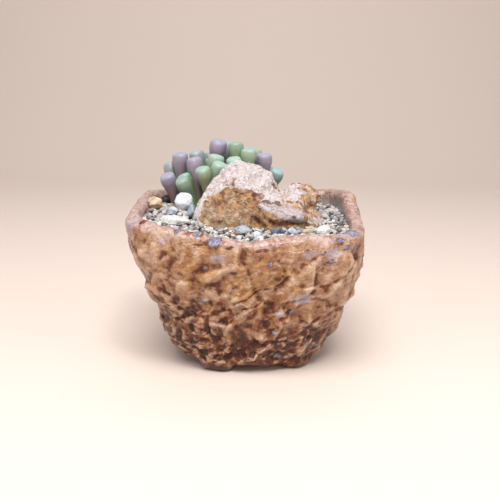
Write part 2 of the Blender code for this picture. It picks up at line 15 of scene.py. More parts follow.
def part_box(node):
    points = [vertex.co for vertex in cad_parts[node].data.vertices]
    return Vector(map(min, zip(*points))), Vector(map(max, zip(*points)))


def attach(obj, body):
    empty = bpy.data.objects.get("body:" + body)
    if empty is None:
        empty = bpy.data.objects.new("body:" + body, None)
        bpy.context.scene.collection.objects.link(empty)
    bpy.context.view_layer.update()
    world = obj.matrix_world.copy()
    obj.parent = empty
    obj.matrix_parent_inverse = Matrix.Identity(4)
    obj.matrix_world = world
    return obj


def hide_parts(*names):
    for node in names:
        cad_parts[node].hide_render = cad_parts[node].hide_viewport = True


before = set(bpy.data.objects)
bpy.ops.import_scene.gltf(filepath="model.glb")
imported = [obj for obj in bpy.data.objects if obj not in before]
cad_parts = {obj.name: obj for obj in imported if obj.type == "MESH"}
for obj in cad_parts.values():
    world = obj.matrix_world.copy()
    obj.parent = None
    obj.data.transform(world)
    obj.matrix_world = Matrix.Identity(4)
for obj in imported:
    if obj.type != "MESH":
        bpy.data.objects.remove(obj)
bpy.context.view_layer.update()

bl_info = {
    "name": "Potted baby toes",
    "version": (1, 0, 0),
    "blender": (4, 5, 0),
    "location": "3D View > Sidebar > Baby Toes",
    "description": "Builds the looks of a potted window-leaved plant round its CAD frame",
    "category": "Object",
}

# Lengths and places are in millimetres, and a mesh is written in metres
MM = 0.001
WELD = 0.00001
# Places in the noise that are far apart, so that two patterns of one size differ. The first is no shift
SHIFTS = (Vector(), Vector((5.2, 1.3, 8.4)), Vector((9.7, 6.1, 2.8)), Vector((3.4, 8.9, 5.5)))

# Pot wall, outside: height, half width, half depth, centre along X
WALL_LEVELS = (
    (3, 32.5, 26, 2), (14, 40, 31.5, 2.8), (24, 41.8, 35.5, 3.2), (34, 45, 39.7, 2.4), (43, 47.6, 43, 2),
    (51, 49.4, 45.3, 1.6), (59, 51.2, 46.8, 0.8), (67, 52, 47, 0.4), (76, 52, 46, 0.2),
)
# How square the wall is: 2 is an ellipse, and more is squarer. At the rim it grows from the front to the back
SQUARE_BASE = 2.3
SQUARE_RIM = (5.2, 1.8)
SQUARE_FULL_HEIGHT = 55
# Rim height by the angle round the pot, in degrees from +X
RIM_HEIGHTS = (
    (0, 72.2), (17, 77), (38, 75.2), (60, 73.2), (90, 72.2), (132, 73.6), (153, 75.4), (178, 74),
    (205, 73.2), (227, 71.6), (250, 68), (270, 65.6), (292, 68.2), (315, 67.6), (340, 69.6),
)
RIM_TOP = 75
WALL_THICKNESS = 6.5
UNDERSIDE = 3
DRAIN_CENTRE = (3, -0.4)
DRAIN_RADIUS = 5
FEET = ((-12.5, -19.5, 7.4), (23.5, -15, 6.6), (-16, 15, 7), (18, 17, 7))
# The turned form that becomes the pot: radius and height from the drain hole out, up, over the lip and back
FORM_RADIUS = 52
FORM_FLAT = 44
UNDERSIDE_RINGS = (5, 15, 24, 31, 37, 44)
FOOT_EDGE = ((48, 3.2), (50.6, 3.8))
WALL_ROWS = 30
WALL_SPAN = (4.8, 71.6)
LIP = ((51.5, 73.4), (50, 74.7), (48, 74.9), (46.4, 74), (45.5, 72))
INNER_RINGS = ((45.5, 66), (45.5, 60), (45.5, 22), (44, 13), (41, 10.5), (5, 10.5))
POT_SIDES = 120
# The large slabs of the clay: size and how much they lean
SLAB_SIZE = 14
SLAB_TILT = 0.46
# Two open cracks in the front, as lines through places on the wall
CRACKS = (
    (
        (17.2, -43.3, 51), (16, -43.4, 48.1), (10.9, -41.9, 45), (6.4, -42.2, 44.7), (1.1, -42.3, 40.4),
        (-4.3, -41.4, 38.3),
    ),
    ((12.9, -41.7, 45), (8.9, -39, 39.8), (4, -38.8, 36.2), (-0.6, -39.4, 35.5)),
)
SPOT_MASKS = ("low", "violet", "rust", "frost")
# Spots of coloured glaze: place on the wall, half width and half height
BLUE_CHIP = ((-11.3, -46, 65.9, 2.8, 2.1),)
VIOLET_SPOTS = (
    (10.5, -46.5, 56.8, 0.9, 1.8), (24.4, -46.1, 62.2, 1.6, 0.8), (31.3, -44.8, 61.1, 1.1, 1.3),
    (40.8, -41.8, 62.9, 2, 1.1), (42.6, -36.5, 67.5, 2.6, 1.2), (45.6, -35.8, 67, 2, 1.3),
    (38.2, -42.3, 65.9, 2.2, 0.8), (34.4, -43.4, 57, 1.4, 1.2), (46, -38, 61.5, 1.4, 2.2),
    (-25.9, -42.9, 69.6, 1.3, 1.1), (-19.3, -44.5, 68, 1, 1.5), (-15.5, -44, 54.7, 0.9, 0.8),
    (-17.3, -38.6, 38.6, 2, 0.9), (-1.4, -40.4, 37.1, 1.4, 0.8), (12.6, -35.4, 23.9, 1.2, 1.2),
    (30.8, -22.3, 13.3, 1.2, 1.6),
)
RUST_SPOTS = (
    (-18, -46.8, 64.8, 2.2, 0.7), (-5.7, -47.1, 63.2, 2.4, 0.6), (7.3, -47.1, 62.7, 2.6, 0.7),
    (-22, -44.1, 68.7, 1.6, 1.3), (-16.6, -44.6, 68.4, 1.2, 0.8), (14.3, -30.1, 14, 3.4, 1.6),
    (-3.3, -26.1, 7.5, 1.8, 1.4), (-25.6, -43.8, 52.1, 1.4, 0.8), (-4.2, -44.6, 52.5, 1.4, 0.8),
    (-6.5, -36.5, 31.3, 1.8, 1), (8.3, -36.3, 31.4, 1.8, 0.9), (13.5, -43, 49.5, 1.6, 0.9),
    (-41, -38, 71.5, 1.6, 0.8),
)
# Thin blue-white glaze, and a painted glint: the first spot, just below the front of the rim, is a painted
# glint
FROST_AND_GLINT_SPOTS = (
    (-2.2, -45.9, 64.4, 1.6, 0.9), (-46.5, -35, 70, 3.4, 3.4), (41.5, -38, 67.5, 3.4, 2.4),
    (31.6, -19.8, 10.4, 1.6, 1.6), (27.6, -27, 15, 1.4, 1.6), (15.1, -25, 8.6, 3.2, 1),
    (23, -39.8, 39.7, 5, 3), (26.5, -45.6, 60.4, 3, 1.6), (-10.5, -45.4, 58.6, 3.4, 2.2),
    (-32.5, -44.8, 66.3, 2.6, 1.8), (-15.9, -39.4, 39.4, 1.6, 0.8), (14.6, -38, 33, 1.6, 1.2),
    (20.6, -37.6, 33.6, 1.4, 1.1), (33.8, -43, 60.5, 3.4, 2.4),
)

# Mean height of the gravel at the front, its rise to the back and to the left, and a bank at the left as its
# place in plan, spread and height
GRAVEL_FRONT = 64.8
GRAVEL_RISE_BACK = 1.9
GRAVEL_RISE_LEFT = 3.3
GRAVEL_BANK = (-28, -8, 130, 1.7)
# How far the gravel stays under the rim, the middle of its disc along X, the height at which its outline is
# read from the wall, and its under side
GRAVEL_UNDER_RIM = 2.2
GRAVEL_MIDDLE = 0.5
GRAVEL_EDGE = 63
GRAVEL_BOTTOM = 57.6
GRAVEL_SEED = 23
GRAIN_SEED = 5
# Colours of the grains and how common each is
GRAIN_TINTS = (
    ((206, 200, 196), 5), ((188, 184, 182), 4.5), ((222, 218, 216), 4), ((156, 152, 150), 3),
    ((210, 196, 178), 3), ((228, 218, 208), 2.5), ((244, 246, 250), 2.2), ((160, 168, 178), 1.4),
    ((104, 102, 104), 1.4), ((160, 128, 106), 0.7),
)

# How much higher the tip of the rock stands than its plain solid
ROCK_RISE = 0.2
# How far the foot of its left end spreads, to the left and to the front
ROCK_SPREAD = (0.4, 4)
# How far the rock draws in: from above along its right crest, from above at the saddle, from the right at its
# waist, and how far it fills out under the band
ROCK_CREST_DROP = 1
ROCK_SADDLE_DROP = 2.6
ROCK_WAIST = 4.4
ROCK_FILL = 4
# The under side of the band along X and up Z
BAND_FOOT = ((7, 13, 18.5, 24.5), (74.6, 72, 69.6, 67.4))
# Line along X and up Z where the brown face of the rock ends, from the left foot over the top to the right
BROWN_LINE = (
    (-21, -20.2, -18.4, -13.9, -11.3, -7.8, 1.1, 5.9, 8.5, 14.7, 24, 30),
    (60, 71, 75.8, 78.1, 80.3, 82.4, 81.7, 80.6, 76.6, 74, 69, 66),
)
# The smooth layered band: places along X and up Z with its half thickness
BAND_LINE = ((7, 75.4, 1), (12, 74.2, 1.9), (17, 72.7, 2.8), (22.5, 70.8, 3))
# The pale wedge above it, and the white patch of the right lobe, in X and Z
WEDGE = ((6.4, 76.6), (11, 79.2), (16.2, 79.8), (16, 76.2), (11, 75.9))
WHITE_PATCH = (21.4, 79.4, 4.6, 3)
# Stains and dark marks seen from the front: place along X and up Z, half width and half height
GOLD_STAINS = (
    (-13.5, 77.6, 3.2, 1.1), (-10.3, 73.6, 1.4, 2), (-2.8, 74.7, 2.5, 1.9), (2.9, 75.6, 2.4, 1.6),
    (-7.4, 80.8, 2, 0.9), (0.2, 78.6, 3.4, 0.9), (1.6, 69.3, 2.4, 1.6), (8.5, 72, 3.2, 1.6),
    (11.7, 68.6, 4.6, 1.9), (5.6, 67.2, 2.6, 1.6), (19.8, 67.1, 4.4, 1.8), (22.8, 83, 5, 1),
    (31.6, 79.4, 2.4, 2.6), (33.6, 76, 1.9, 3), (27.6, 73.4, 1.3, 2.8), (25.6, 70.6, 1.8, 1.8),
    (16.4, 81, 1.3, 3), (10.6, 86.6, 1, 1.6), (13.4, 83.6, 1, 1.8), (-18.4, 70, 1, 1.2),
)
# Dark specks, and a painted shadow line under the pale wedge: the two thin marks at (9, 76.7) and (13.6,
# 76.5)
DARK_SPECKS_AND_SHADOW_LINE = (
    (-4.2, 80.5, 1.3, 0.6), (-1.6, 79.6, 1.3, 0.6), (3.7, 79.2, 1.6, 0.7), (1.6, 77.8, 0.9, 0.5),
    (-3.3, 76.4, 0.9, 0.6), (9, 76.7, 2.2, 0.4), (13.6, 76.5, 1.8, 0.4), (-11, 68.8, 1.1, 0.7),
    (33, 77.4, 1, 0.5), (28.4, 81.6, 0.5, 0.5), (21.2, 71, 0.6, 0.5), (22.2, 75.6, 0.6, 0.4),
    (-9, 76.4, 1, 0.5), (17.2, 82.2, 0.5, 1),
)
ROCK_MASKS = ("brown", "gold", "dark", "sandy", "band")

# Each pebble: how far it lies from the middle of its plain solid, size, turn in degrees, how angular it is,
# its stone, and its first and second colour
PEBBLES = {
    "pebble_white": ((0, 0, 0), (8.6, 8.2, 8.6), 10, 0.5, "white", (238, 240, 246), (206, 212, 222)),
    "pebble_grey_blue": ((0.3, -2, -0.2), (6.2, 5, 4.4), 25, 1, "blue", (206, 212, 220), (128, 136, 156)),
    "pebble_long": ((1.2, -0.8, 0), (3.8, 4.8, 6.8), -20, 0.8, "blue", (162, 174, 184), (124, 136, 150)),
    "pebble_slab": ((-0.4, -3.2, -0.2), (15, 9, 4.2), -18, 0.9, "white", (232, 230, 228), (190, 184, 178)),
    "pebble_beige": ((-1, 0, 0.3), (9.4, 6.4, 5.8), -24, 1, "beige", (216, 194, 168), (192, 152, 112)),
    "pebble_black": ((2.2, 0, 0.4), (5.4, 4.8, 4.8), 0, 0.8, "black", (34, 26, 28), (16, 13, 15)),
    "pebble_front_blue": ((0, 0, 0), (7.4, 5, 4.2), 5, 0.7, "blue", (172, 184, 192), (132, 144, 156)),
    "pebble_front_round": ((0, 0, 0), (3.8, 3.4, 3.2), 0, 0.4, "white", (222, 228, 232), (190, 200, 208)),
    "pebble_front_dark": ((0, 0, 0), (6.2, 4.4, 3.8), 8, 0.8, "blue", (104, 112, 134), (70, 74, 94)),
    "pebble_front_pale": ((0, 0, 0), (4.4, 3.8, 3.4), -10, 0.6, "blue", (188, 200, 210), (150, 162, 174)),
    "pebble_front_tan": ((0, 0, 0), (6, 4.4, 3.6), 12, 0.8, "beige", (196, 180, 156), (150, 132, 110)),
    "pebble_front_white": ((0, 0, 0), (7, 5.2, 4.4), 5, 0.7, "white", (236, 234, 234), (206, 202, 204)),
}
PEBBLE_SEED = 40

LEAF_START = 68
# Each head: slot and crown centre, then each leaf as tip, widest radius, kind, how blunt and how tilted its
# window is, and the place of its foot where that isn't close to the middle of the crown
HEADS = {
    "rosette_left": ("purple", (-32.5, 18.5), (
        ((-37.4, 15, 82.4), 4, "purple", 0.7, (-0.2, -0.3)),
        ((-37.4, 25.5, 86.8), 3.8, "grey", 0.5, (-0.2, 0)),
        ((-31.9, 20.5, 92), 4.1, "purple", 0.9, (-0.2, -0.2)),
        ((-33.5, 30.5, 84), 3.6, "green", 0.5, (0, 0.3)),
        ((-28.6, 26, 86.2), 3.3, "grey", 0.5, (0.2, 0.2)),
    )),
    "rosette_front": ("green", (-20.5, 7.5), (
        ((-29.2, 2.5, 82.2), 3.6, "sage", 0.4, (-0.2, -0.4), (-24.4, 6)),
        ((-28.9, 9.6, 83.2), 3.5, "fresh", 0.4, (-0.1, 0), (-23.6, 8.6)),
        ((-24.5, 12.5, 90.4), 4, "purple", 0.7, (-0.1, -0.3)),
        ((-19.8, 3.5, 86.9), 3.8, "lime", 0.5, (0, -0.3), (-16.6, 6.2)),
        ((-12.4, 6.4, 88.5), 4.3, "green", 0.5, (-0.1, -0.3)),
        ((-14.4, 12.8, 91.5), 4.2, "green", 0.5, (0, -0.3)),
    )),
    "rosette_back": ("purple", (-18.5, 25), (
        ((-24.6, 28, 92), 4.2, "grey", 0.5, (-0.1, -0.2)),
        ((-18.2, 33, 91), 3.7, "grey", 0.5, (0, 0)),
        ((-13.6, 22, 97.6), 4.5, "purple", 0.5, (0.1, -0.2)),
        ((-9.4, 31, 96.4), 3.7, "grey", 0.5, (0, 0)),
        ((-25, 34.5, 83), 3.6, "purple", 0.5, (0, 0.3)),
        ((-12.5, 35, 85), 3.6, "green", 0.5, (0, 0.3)),
        ((-17.5, 27, 89), 3.4, "fresh", 0.5, (0, 0)),
    )),
    "rosette_middle": ("green", (-2.5, 14.5), (
        ((-5.6, 9.6, 90.8), 3.9, "green", 0.5, (-0.1, -0.3)),
        ((-5, 19.5, 97.4), 3.9, "sage", 0.6, (0, -0.2)),
        ((1.3, 17, 94.6), 4, "pale", 0.9, (-0.2, -0.3)),
        ((3.5, 10, 85), 3.4, "green", 0.5, (0.2, -0.2)),
        ((-2.4, 24.5, 88), 3.6, "green", 0.5, (0, 0.3)),
        ((-8.4, 16, 83), 3.1, "fresh", 0.5, (0, 0)),
    )),
    "rosette_right": ("grey_green", (8, 25.5), (
        ((4.4, 29.5, 93.4), 3.7, "lime", 0.7, (0, -0.1)),
        ((8.6, 23.5, 91.6), 4.2, "purple", 1, (0, -0.2)),
        ((14.9, 21.5, 84.2), 3.7, "teal", 0.5, (0, -0.3)),
        ((1.5, 35, 84), 3.6, "green", 0.5, (0, 0.3)),
        ((11.5, 32, 84), 3.7, "grey", 0.5, (0.2, 0.3)),
        ((6.5, 37, 78.5), 3.1, "teal", 0.5, (0, 0.3)),
    )),
}
# Body near the foot, body near the tip, window
LEAF_TONES = {
    "purple": ((116, 90, 76), (142, 128, 144), (152, 156, 176)),
    "grey": ((112, 114, 104), (138, 144, 146), (152, 170, 172)),
    "green": ((104, 122, 82), (134, 150, 130), (158, 188, 174)),
    "sage": ((94, 110, 76), (124, 142, 118), (140, 164, 150)),
    "pale": ((122, 134, 92), (146, 160, 132), (146, 178, 174)),
    "fresh": ((70, 116, 48), (108, 138, 100), (150, 182, 162)),
    "lime": ((152, 132, 84), (146, 150, 124), (150, 176, 162)),
    "teal": ((110, 126, 108), (134, 150, 146), (150, 178, 176)),
}
# The straight leaf, of length and radius 1: radius and place along it
LEAF_OUTLINE = (
    (1, -0.12), (1, 0), (1, 0.15), (1, 0.32), (1, 0.5), (1, 0.68), (1, 0.84), (1, 0.95),
    (0.98, 1.05), (0.89, 1.13), (0.72, 1.185), (0.46, 1.22), (0.18, 1.235),
)
# Width of a leaf by the distance below its tip, both as shares of its widest radius
LEAF_TAPER = ((0, 1), (0.5, 0.99), (1, 0.88), (1.5, 0.75), (2, 0.64), (2.7, 0.55), (3.7, 0.5), (7.5, 0.47))
LEAF_DOME = 3.4
LEAF_SHADE_REACH = 2.2
# Crown and taproot: radius and height
CROWN_OUTLINE = ((1.3, 36), (2.4, 48), (3.4, 60), (4.2, 66), (4.4, 68.4), (3.6, 70), (1.6, 70.6))

# Camera, as the photograph was taken: place in metres, tilt down and turn in degrees, lens in millimetres
CAMERA_PLACE = (0.00215, -0.2966, 0.123)
CAMERA_TILT = 90 - 13.6
CAMERA_ROLL = 0.43
CAMERA_LENS = 46.8


# Colours and sizes that a user would change


def tone(red, green, blue):
    """A linear colour from the 0 to 255 values that a colour picker shows."""
    shares = [value / 255 for value in (red, green, blue)]
    linear = [share / 12.92 if share <= 0.04045 else ((share + 0.055) / 1.055) ** 2.4 for share in shares]
    return (*linear, 1.0)


def colour_property(name, description, *shades):
    return bpy.props.FloatVectorProperty(
        name=name, description=description, default=tone(*shades), subtype="COLOR", size=4, min=0, max=1
    )


def number_property(name, description, value, low, high, **kind):
    return bpy.props.FloatProperty(
        name=name, description=description, default=value, min=low, max=high, **kind
    )


class PotSettings(bpy.types.PropertyGroup):
    relief: number_property("Relief", "Strength of the relief of the clay", 1, 0, 2, subtype="FACTOR")
    gloss: number_property("Roughness", "Roughness of the glaze", 0.36, 0, 1, subtype="FACTOR")
    deep: colour_property("Creases", "Glaze pooled dark in the creases", 56, 20, 6)
    brown: colour_property("Brown", "Clay in the hollows", 108, 54, 20)
    clay: colour_property("Clay", "Plain glazed clay", 168, 131, 102)
    # Paler glaze on the ridges: partly glaze worn thin, partly a painted highlight
    pale: colour_property("Ridges", "Glaze worn thin on the ridges", 204, 174, 150)
    blush: colour_property("Rim", "Pink-white rim", 196, 174, 171)
    stain: colour_property("Rim stain", "Orange-brown stains along the rim", 150, 88, 62)
    bare: colour_property("Inside", "Greyer wall inside", 156, 143, 137)
    wash: colour_property("Wash", "Ochre wash over the clay", 228, 202, 146)
    # Red-brown of the clay near the foot, laid on more strongly lower down: partly its own colour, partly
    # painted shade
    earth: colour_property("Earth", "Red-brown wash near the foot", 212, 148, 86)
    violet: colour_property("Violet", "Blue-violet glaze spots", 104, 106, 136)
    dusk: colour_property("Dusk", "Dark edge of the violet spots", 64, 42, 54)
    # Colour of the thin blue-white glaze, also used for a painted glint
    frost: colour_property("Frost", "Thin blue-white glaze", 176, 168, 182)
    rust: colour_property("Rust", "Iron-red stains", 164, 76, 42)


class GravelSettings(bpy.types.PropertyGroup):
    spacing: number_property("Spacing", "Least distance between grains", 0.0017, 0.0012, 0.004, unit="LENGTH")
    grain: number_property("Grain", "Mean width of a grain", 0.0027, 0.002, 0.006, unit="LENGTH")


class RockSettings(bpy.types.PropertyGroup):
    detail: number_property("Detail", "Size of the smallest chips", 0.00055, 0.0004, 0.002, unit="LENGTH")
    crust: colour_property("Crust", "White outer crust", 214, 207, 207)
    stone: colour_property("Stone", "Plain stone", 186, 150, 126)
    brown: colour_property("Brown", "Brown weathered face", 112, 68, 38)
    sandy: colour_property("Sandy", "Beige of the weathered face", 158, 126, 94)
    cream: colour_property("Cream", "Pale veil over the beige", 214, 192, 164)
    gold: colour_property("Gold", "Golden iron stains", 200, 150, 94)
    band: colour_property("Band", "Grey-pink layered band", 184, 168, 166)
    # Also the colour of the painted shadow under the pale wedge
    speck: colour_property("Specks", "Dark red-brown specks and lines", 84, 44, 30)


class LeafSettings(bpy.types.PropertyGroup):
    # Painted shade and a painted glow of light through the leaves: a deeper green where other leaves crowd
    # close
    gap: colour_property("Gap", "Fresh green where leaves shade each other", 84, 132, 56)


class StageSettings(bpy.types.PropertyGroup):
    floor: colour_property("Floor", "Floor and backdrop", 229, 213, 202)
    key: number_property("Key", "Power of the overhead soft box", 8, 0, 100, subtype="POWER")
    fill: number_property("Fill", "Power of each side soft box", 1.7, 0, 100, subtype="POWER")


class BabyToesSettings(bpy.types.PropertyGroup):
    pot: bpy.props.PointerProperty(type=PotSettings, name="Pot", description="The stoneware pot")
    gravel: bpy.props.PointerProperty(type=GravelSettings, name="Gravel", description="The loose gravel")
    rock: bpy.props.PointerProperty(type=RockSettings, name="Rock", description="The rock")
    leaf: bpy.props.PointerProperty(type=LeafSettings, name="Leaves", description="The leaves")
    stage: bpy.props.PointerProperty(type=StageSettings, name="Stage", description="Floor and light")


# Modelling


def pick(*pieces):
    """Select these objects alone, in object mode."""
    if bpy.context.object and bpy.context.object.mode != "OBJECT":
        bpy.ops.object.mode_set(mode="OBJECT")
    bpy.ops.object.select_all(action="DESELECT")
    for piece in pieces:
        piece.select_set(True)
        bpy.context.view_layer.objects.active = piece


def new_piece(name):
    """Name the object that an operator has just added."""
    piece = bpy.context.object
    piece.name = piece.data.name = name
    return piece


def mesh_piece(name):
    """A new object with an empty mesh."""
    piece = bpy.data.objects.new(name, bpy.data.meshes.new(name))
    bpy.context.collection.objects.link(piece)
    return piece


def settle(piece):
    """Put the object's place into its mesh, so that it stands at the origin unturned."""
    pick(piece)
    bpy.ops.object.transform_apply(location=True, rotation=True, scale=True)


@contextmanager
def whole_mesh():
    """Edit the active object with all of it selected, then turn its faces outward."""
    bpy.ops.object.mode_set(mode="EDIT")
    bpy.ops.mesh.select_all(action="SELECT")
    yield
    bpy.ops.mesh.select_all(action="SELECT")
    bpy.ops.mesh.normals_make_consistent(inside=False)
    bpy.ops.object.mode_set(mode="OBJECT")


def apply_modifier(piece, kind, **values):
    pick(piece)
    modifier = piece.modifiers.new(kind.title(), kind)
    for key, value in values.items():
        setattr(modifier, key, value)
    bpy.ops.object.modifier_apply(modifier=modifier.name)


def turned_form(name, profile, sides, close, levels):
    """A ring extruded along a (radius, height) profile, closed by the operator and subdivided smooth."""
    pick()
    radius, height = profile[0]
    bpy.ops.mesh.primitive_circle_add(vertices=sides, radius=radius * MM, location=(0, 0, height * MM))
    piece = new_piece(name)
    with whole_mesh():
        for (near, low), (far, high) in zip(profile, profile[1:]):
            bpy.ops.mesh.extrude_edges_move(TRANSFORM_OT_translate={"value": (0, 0, (high - low) * MM)})
            bpy.ops.transform.resize(value=(far / near, far / near, 1), center_override=(0, 0, high * MM))
        bpy.ops.mesh.select_all(action="DESELECT")
        bpy.ops.mesh.select_mode(type="EDGE")
        bpy.ops.mesh.select_non_manifold()
        close()
    settle(piece)
    apply_modifier(piece, "SUBSURF", levels=levels, render_levels=levels)
    return piece


def take_apart(piece):
    """The points and the faces of a master shape, whose object then goes."""
    points = read(piece.data.vertices, "co").astype(float)
    faces = np.array([face.vertices[:] for face in piece.data.polygons])
    bpy.data.objects.remove(piece)
    return points, faces


def repeat_shape(mesh, copies, faces):
    """Fill a mesh with many copies of one set of faces, each with its own points."""
    starts = np.arange(len(copies)) * len(copies[0])
    corners = (faces + starts[:, None, None]).reshape(-1, faces.shape[1])
    mesh.from_pydata(np.concatenate(copies).tolist(), [], corners.tolist())


def read(source, key, width=3, kind=np.float32):
    values = np.empty(len(source) * width, kind)
    source.foreach_get(key, values)
    return values.reshape(-1, width)


def write_points(mesh, points):
    mesh.vertices.foreach_set("co", np.asarray(points, np.float32).ravel())
    mesh.update()


def write_layers(mesh, **layers):
    """Store a mask's value or a colour for each vertex, under each name."""
    for name, values in layers.items():
        values = np.asarray(values, np.float32)
        kind, key = ("FLOAT_COLOR", "color") if values.ndim == 2 else ("FLOAT", "value")
        mesh.attributes.new(name, kind, "POINT").data.foreach_set(key, values.ravel())


def smoothed(mesh, values, rounds):
    """Average a value over each vertex's neighbours, again and again."""
    first, second = read(mesh.edges, "vertices", 2, np.int32).T
    count = len(mesh.vertices)
    links = np.bincount(first, minlength=count) + np.bincount(second, minlength=count)
    for _ in range(rounds):
        total = np.bincount(first, values[second], count) + np.bincount(second, values[first], count)
        values = 0.5 * values + 0.5 * total / np.maximum(links, 1)
    return values


def ease(low, high, value):
    """0 up to low, 1 from high on, and smooth between. Low may be the greater one."""
    share = min(max((value - low) / (high - low), 0.0), 1.0)
    return share * share * (3.0 - 2.0 * share)


def bell(away, width):
    return exp(-((away / width) ** 2))


def oval(point, x, z, wide, tall):
    """How far a point lies from the middle of an oval seen from the front: 1 on its edge."""
    return hypot((point.x - x) / wide, (point.z - z) / tall)


def deepest(aways, reach, low, high, wander):
    """How far inside the nearest of several spots a place lies, from 0 to 1, with a ragged edge."""
    return max((1.0 - ease(low, high, away + wander) for away in aways if away < reach), default=0.0)


def nearest_on(point, start, end):
    """The share of the way from start to end that lies nearest to a point, and the place there."""
    start, way = Vector(start), Vector(end) - Vector(start)
    share = min(max((point - start).dot(way) / way.length_squared, 0.0), 1.0)
    return share, start + way * share


def lumps(point, *waves):
    """Sum of smooth noises, each given by its height, its size and, where it has one, its shift's index."""
    total = 0.0
    for height, size, *index in waves:
        total += height * noise.noise(point / size + SHIFTS[index[0] if index else 0])
    return total


def warp(point, size):
    return Vector(lumps(point, (1.0, size, index)) for index in (1, 2, 3))


def curve_value(points, at, column=1, period=0):
    """Read a smooth curve through the points of a table: Catmull-Rom, closed if it has a period."""
    knots = [(point[0], point[column]) for point in points]
    if period:
        at = (at - knots[0][0]) % period + knots[0][0]
        wrapped = [(place + period, value) for place, value in knots[:2]]
        knots = [(knots[-1][0] - period, knots[-1][1]), *knots, *wrapped]
    else:
        at = min(max(at, knots[0][0]), knots[-1][0])
        knots = [knots[0], *knots, knots[-1]]
    after = next((i for i in range(2, len(knots) - 2) if knots[i][0] > at), len(knots) - 2)
    (x0, y0), (x1, y1), (x2, y2), (x3, y3) = knots[after - 2 : after + 2]
    t = (at - x1) / (x2 - x1)
    slope1 = (y2 - y0) / (x2 - x0) * (x2 - x1)
    slope2 = (y3 - y1) / (x3 - x1) * (x2 - x1)
    start = (2 * t**3 - 3 * t**2 + 1) * y1 + (t**3 - 2 * t**2 + t) * slope1
    return start + (3 * t**2 - 2 * t**3) * y2 + (t**3 - t**2) * slope2


LEVEL_STEPS = 4
LEVEL_TOP = 80
LEVEL_TABLE = [
    [curve_value(WALL_LEVELS, i / LEVEL_STEPS, column) for column in (1, 2, 3)]
    for i in range(LEVEL_TOP * LEVEL_STEPS)
]
RIM_TABLE = [curve_value(RIM_HEIGHTS, angle, period=360) for angle in range(361)]


def rim_height(angle):
    turn = degrees(angle) % 360
    low = min(int(turn), 359)
    return RIM_TABLE[low] + (RIM_TABLE[low + 1] - RIM_TABLE[low]) * (turn - low)


def outward(angle):
    return Vector((cos(angle), sin(angle), 0.0))


def wall_point(angle, height, inset=0.0):
    """Point of the smooth pot wall, moved in from the outside by the inset."""
    place = max(height, 0.0) * LEVEL_STEPS
    low = min(int(place), len(LEVEL_TABLE) - 2)
    share = place - low
    half_x, half_y, centre_x = (a + (b - a) * share for a, b in zip(LEVEL_TABLE[low], LEVEL_TABLE[low + 1]))
    rim_square = SQUARE_RIM[0] + SQUARE_RIM[1] * sin(angle)
    power = SQUARE_BASE + (rim_square - SQUARE_BASE) * ease(0, SQUARE_FULL_HEIGHT, height)
    across = abs(cos(angle) / (half_x - inset)) ** power
    radius = (across + abs(sin(angle) / (half_y - inset)) ** power) ** (-1.0 / power)
    return Vector((centre_x + radius * cos(angle), radius * sin(angle), height))


def dress(piece, material, slot, *nodes):
    """Give a finished piece its material and its body, and hide the CAD nodes that it stands for."""
    piece.data.materials.clear()
    piece.data.materials.append(material)
    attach(piece, "root")
    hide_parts(*nodes)


# Materials


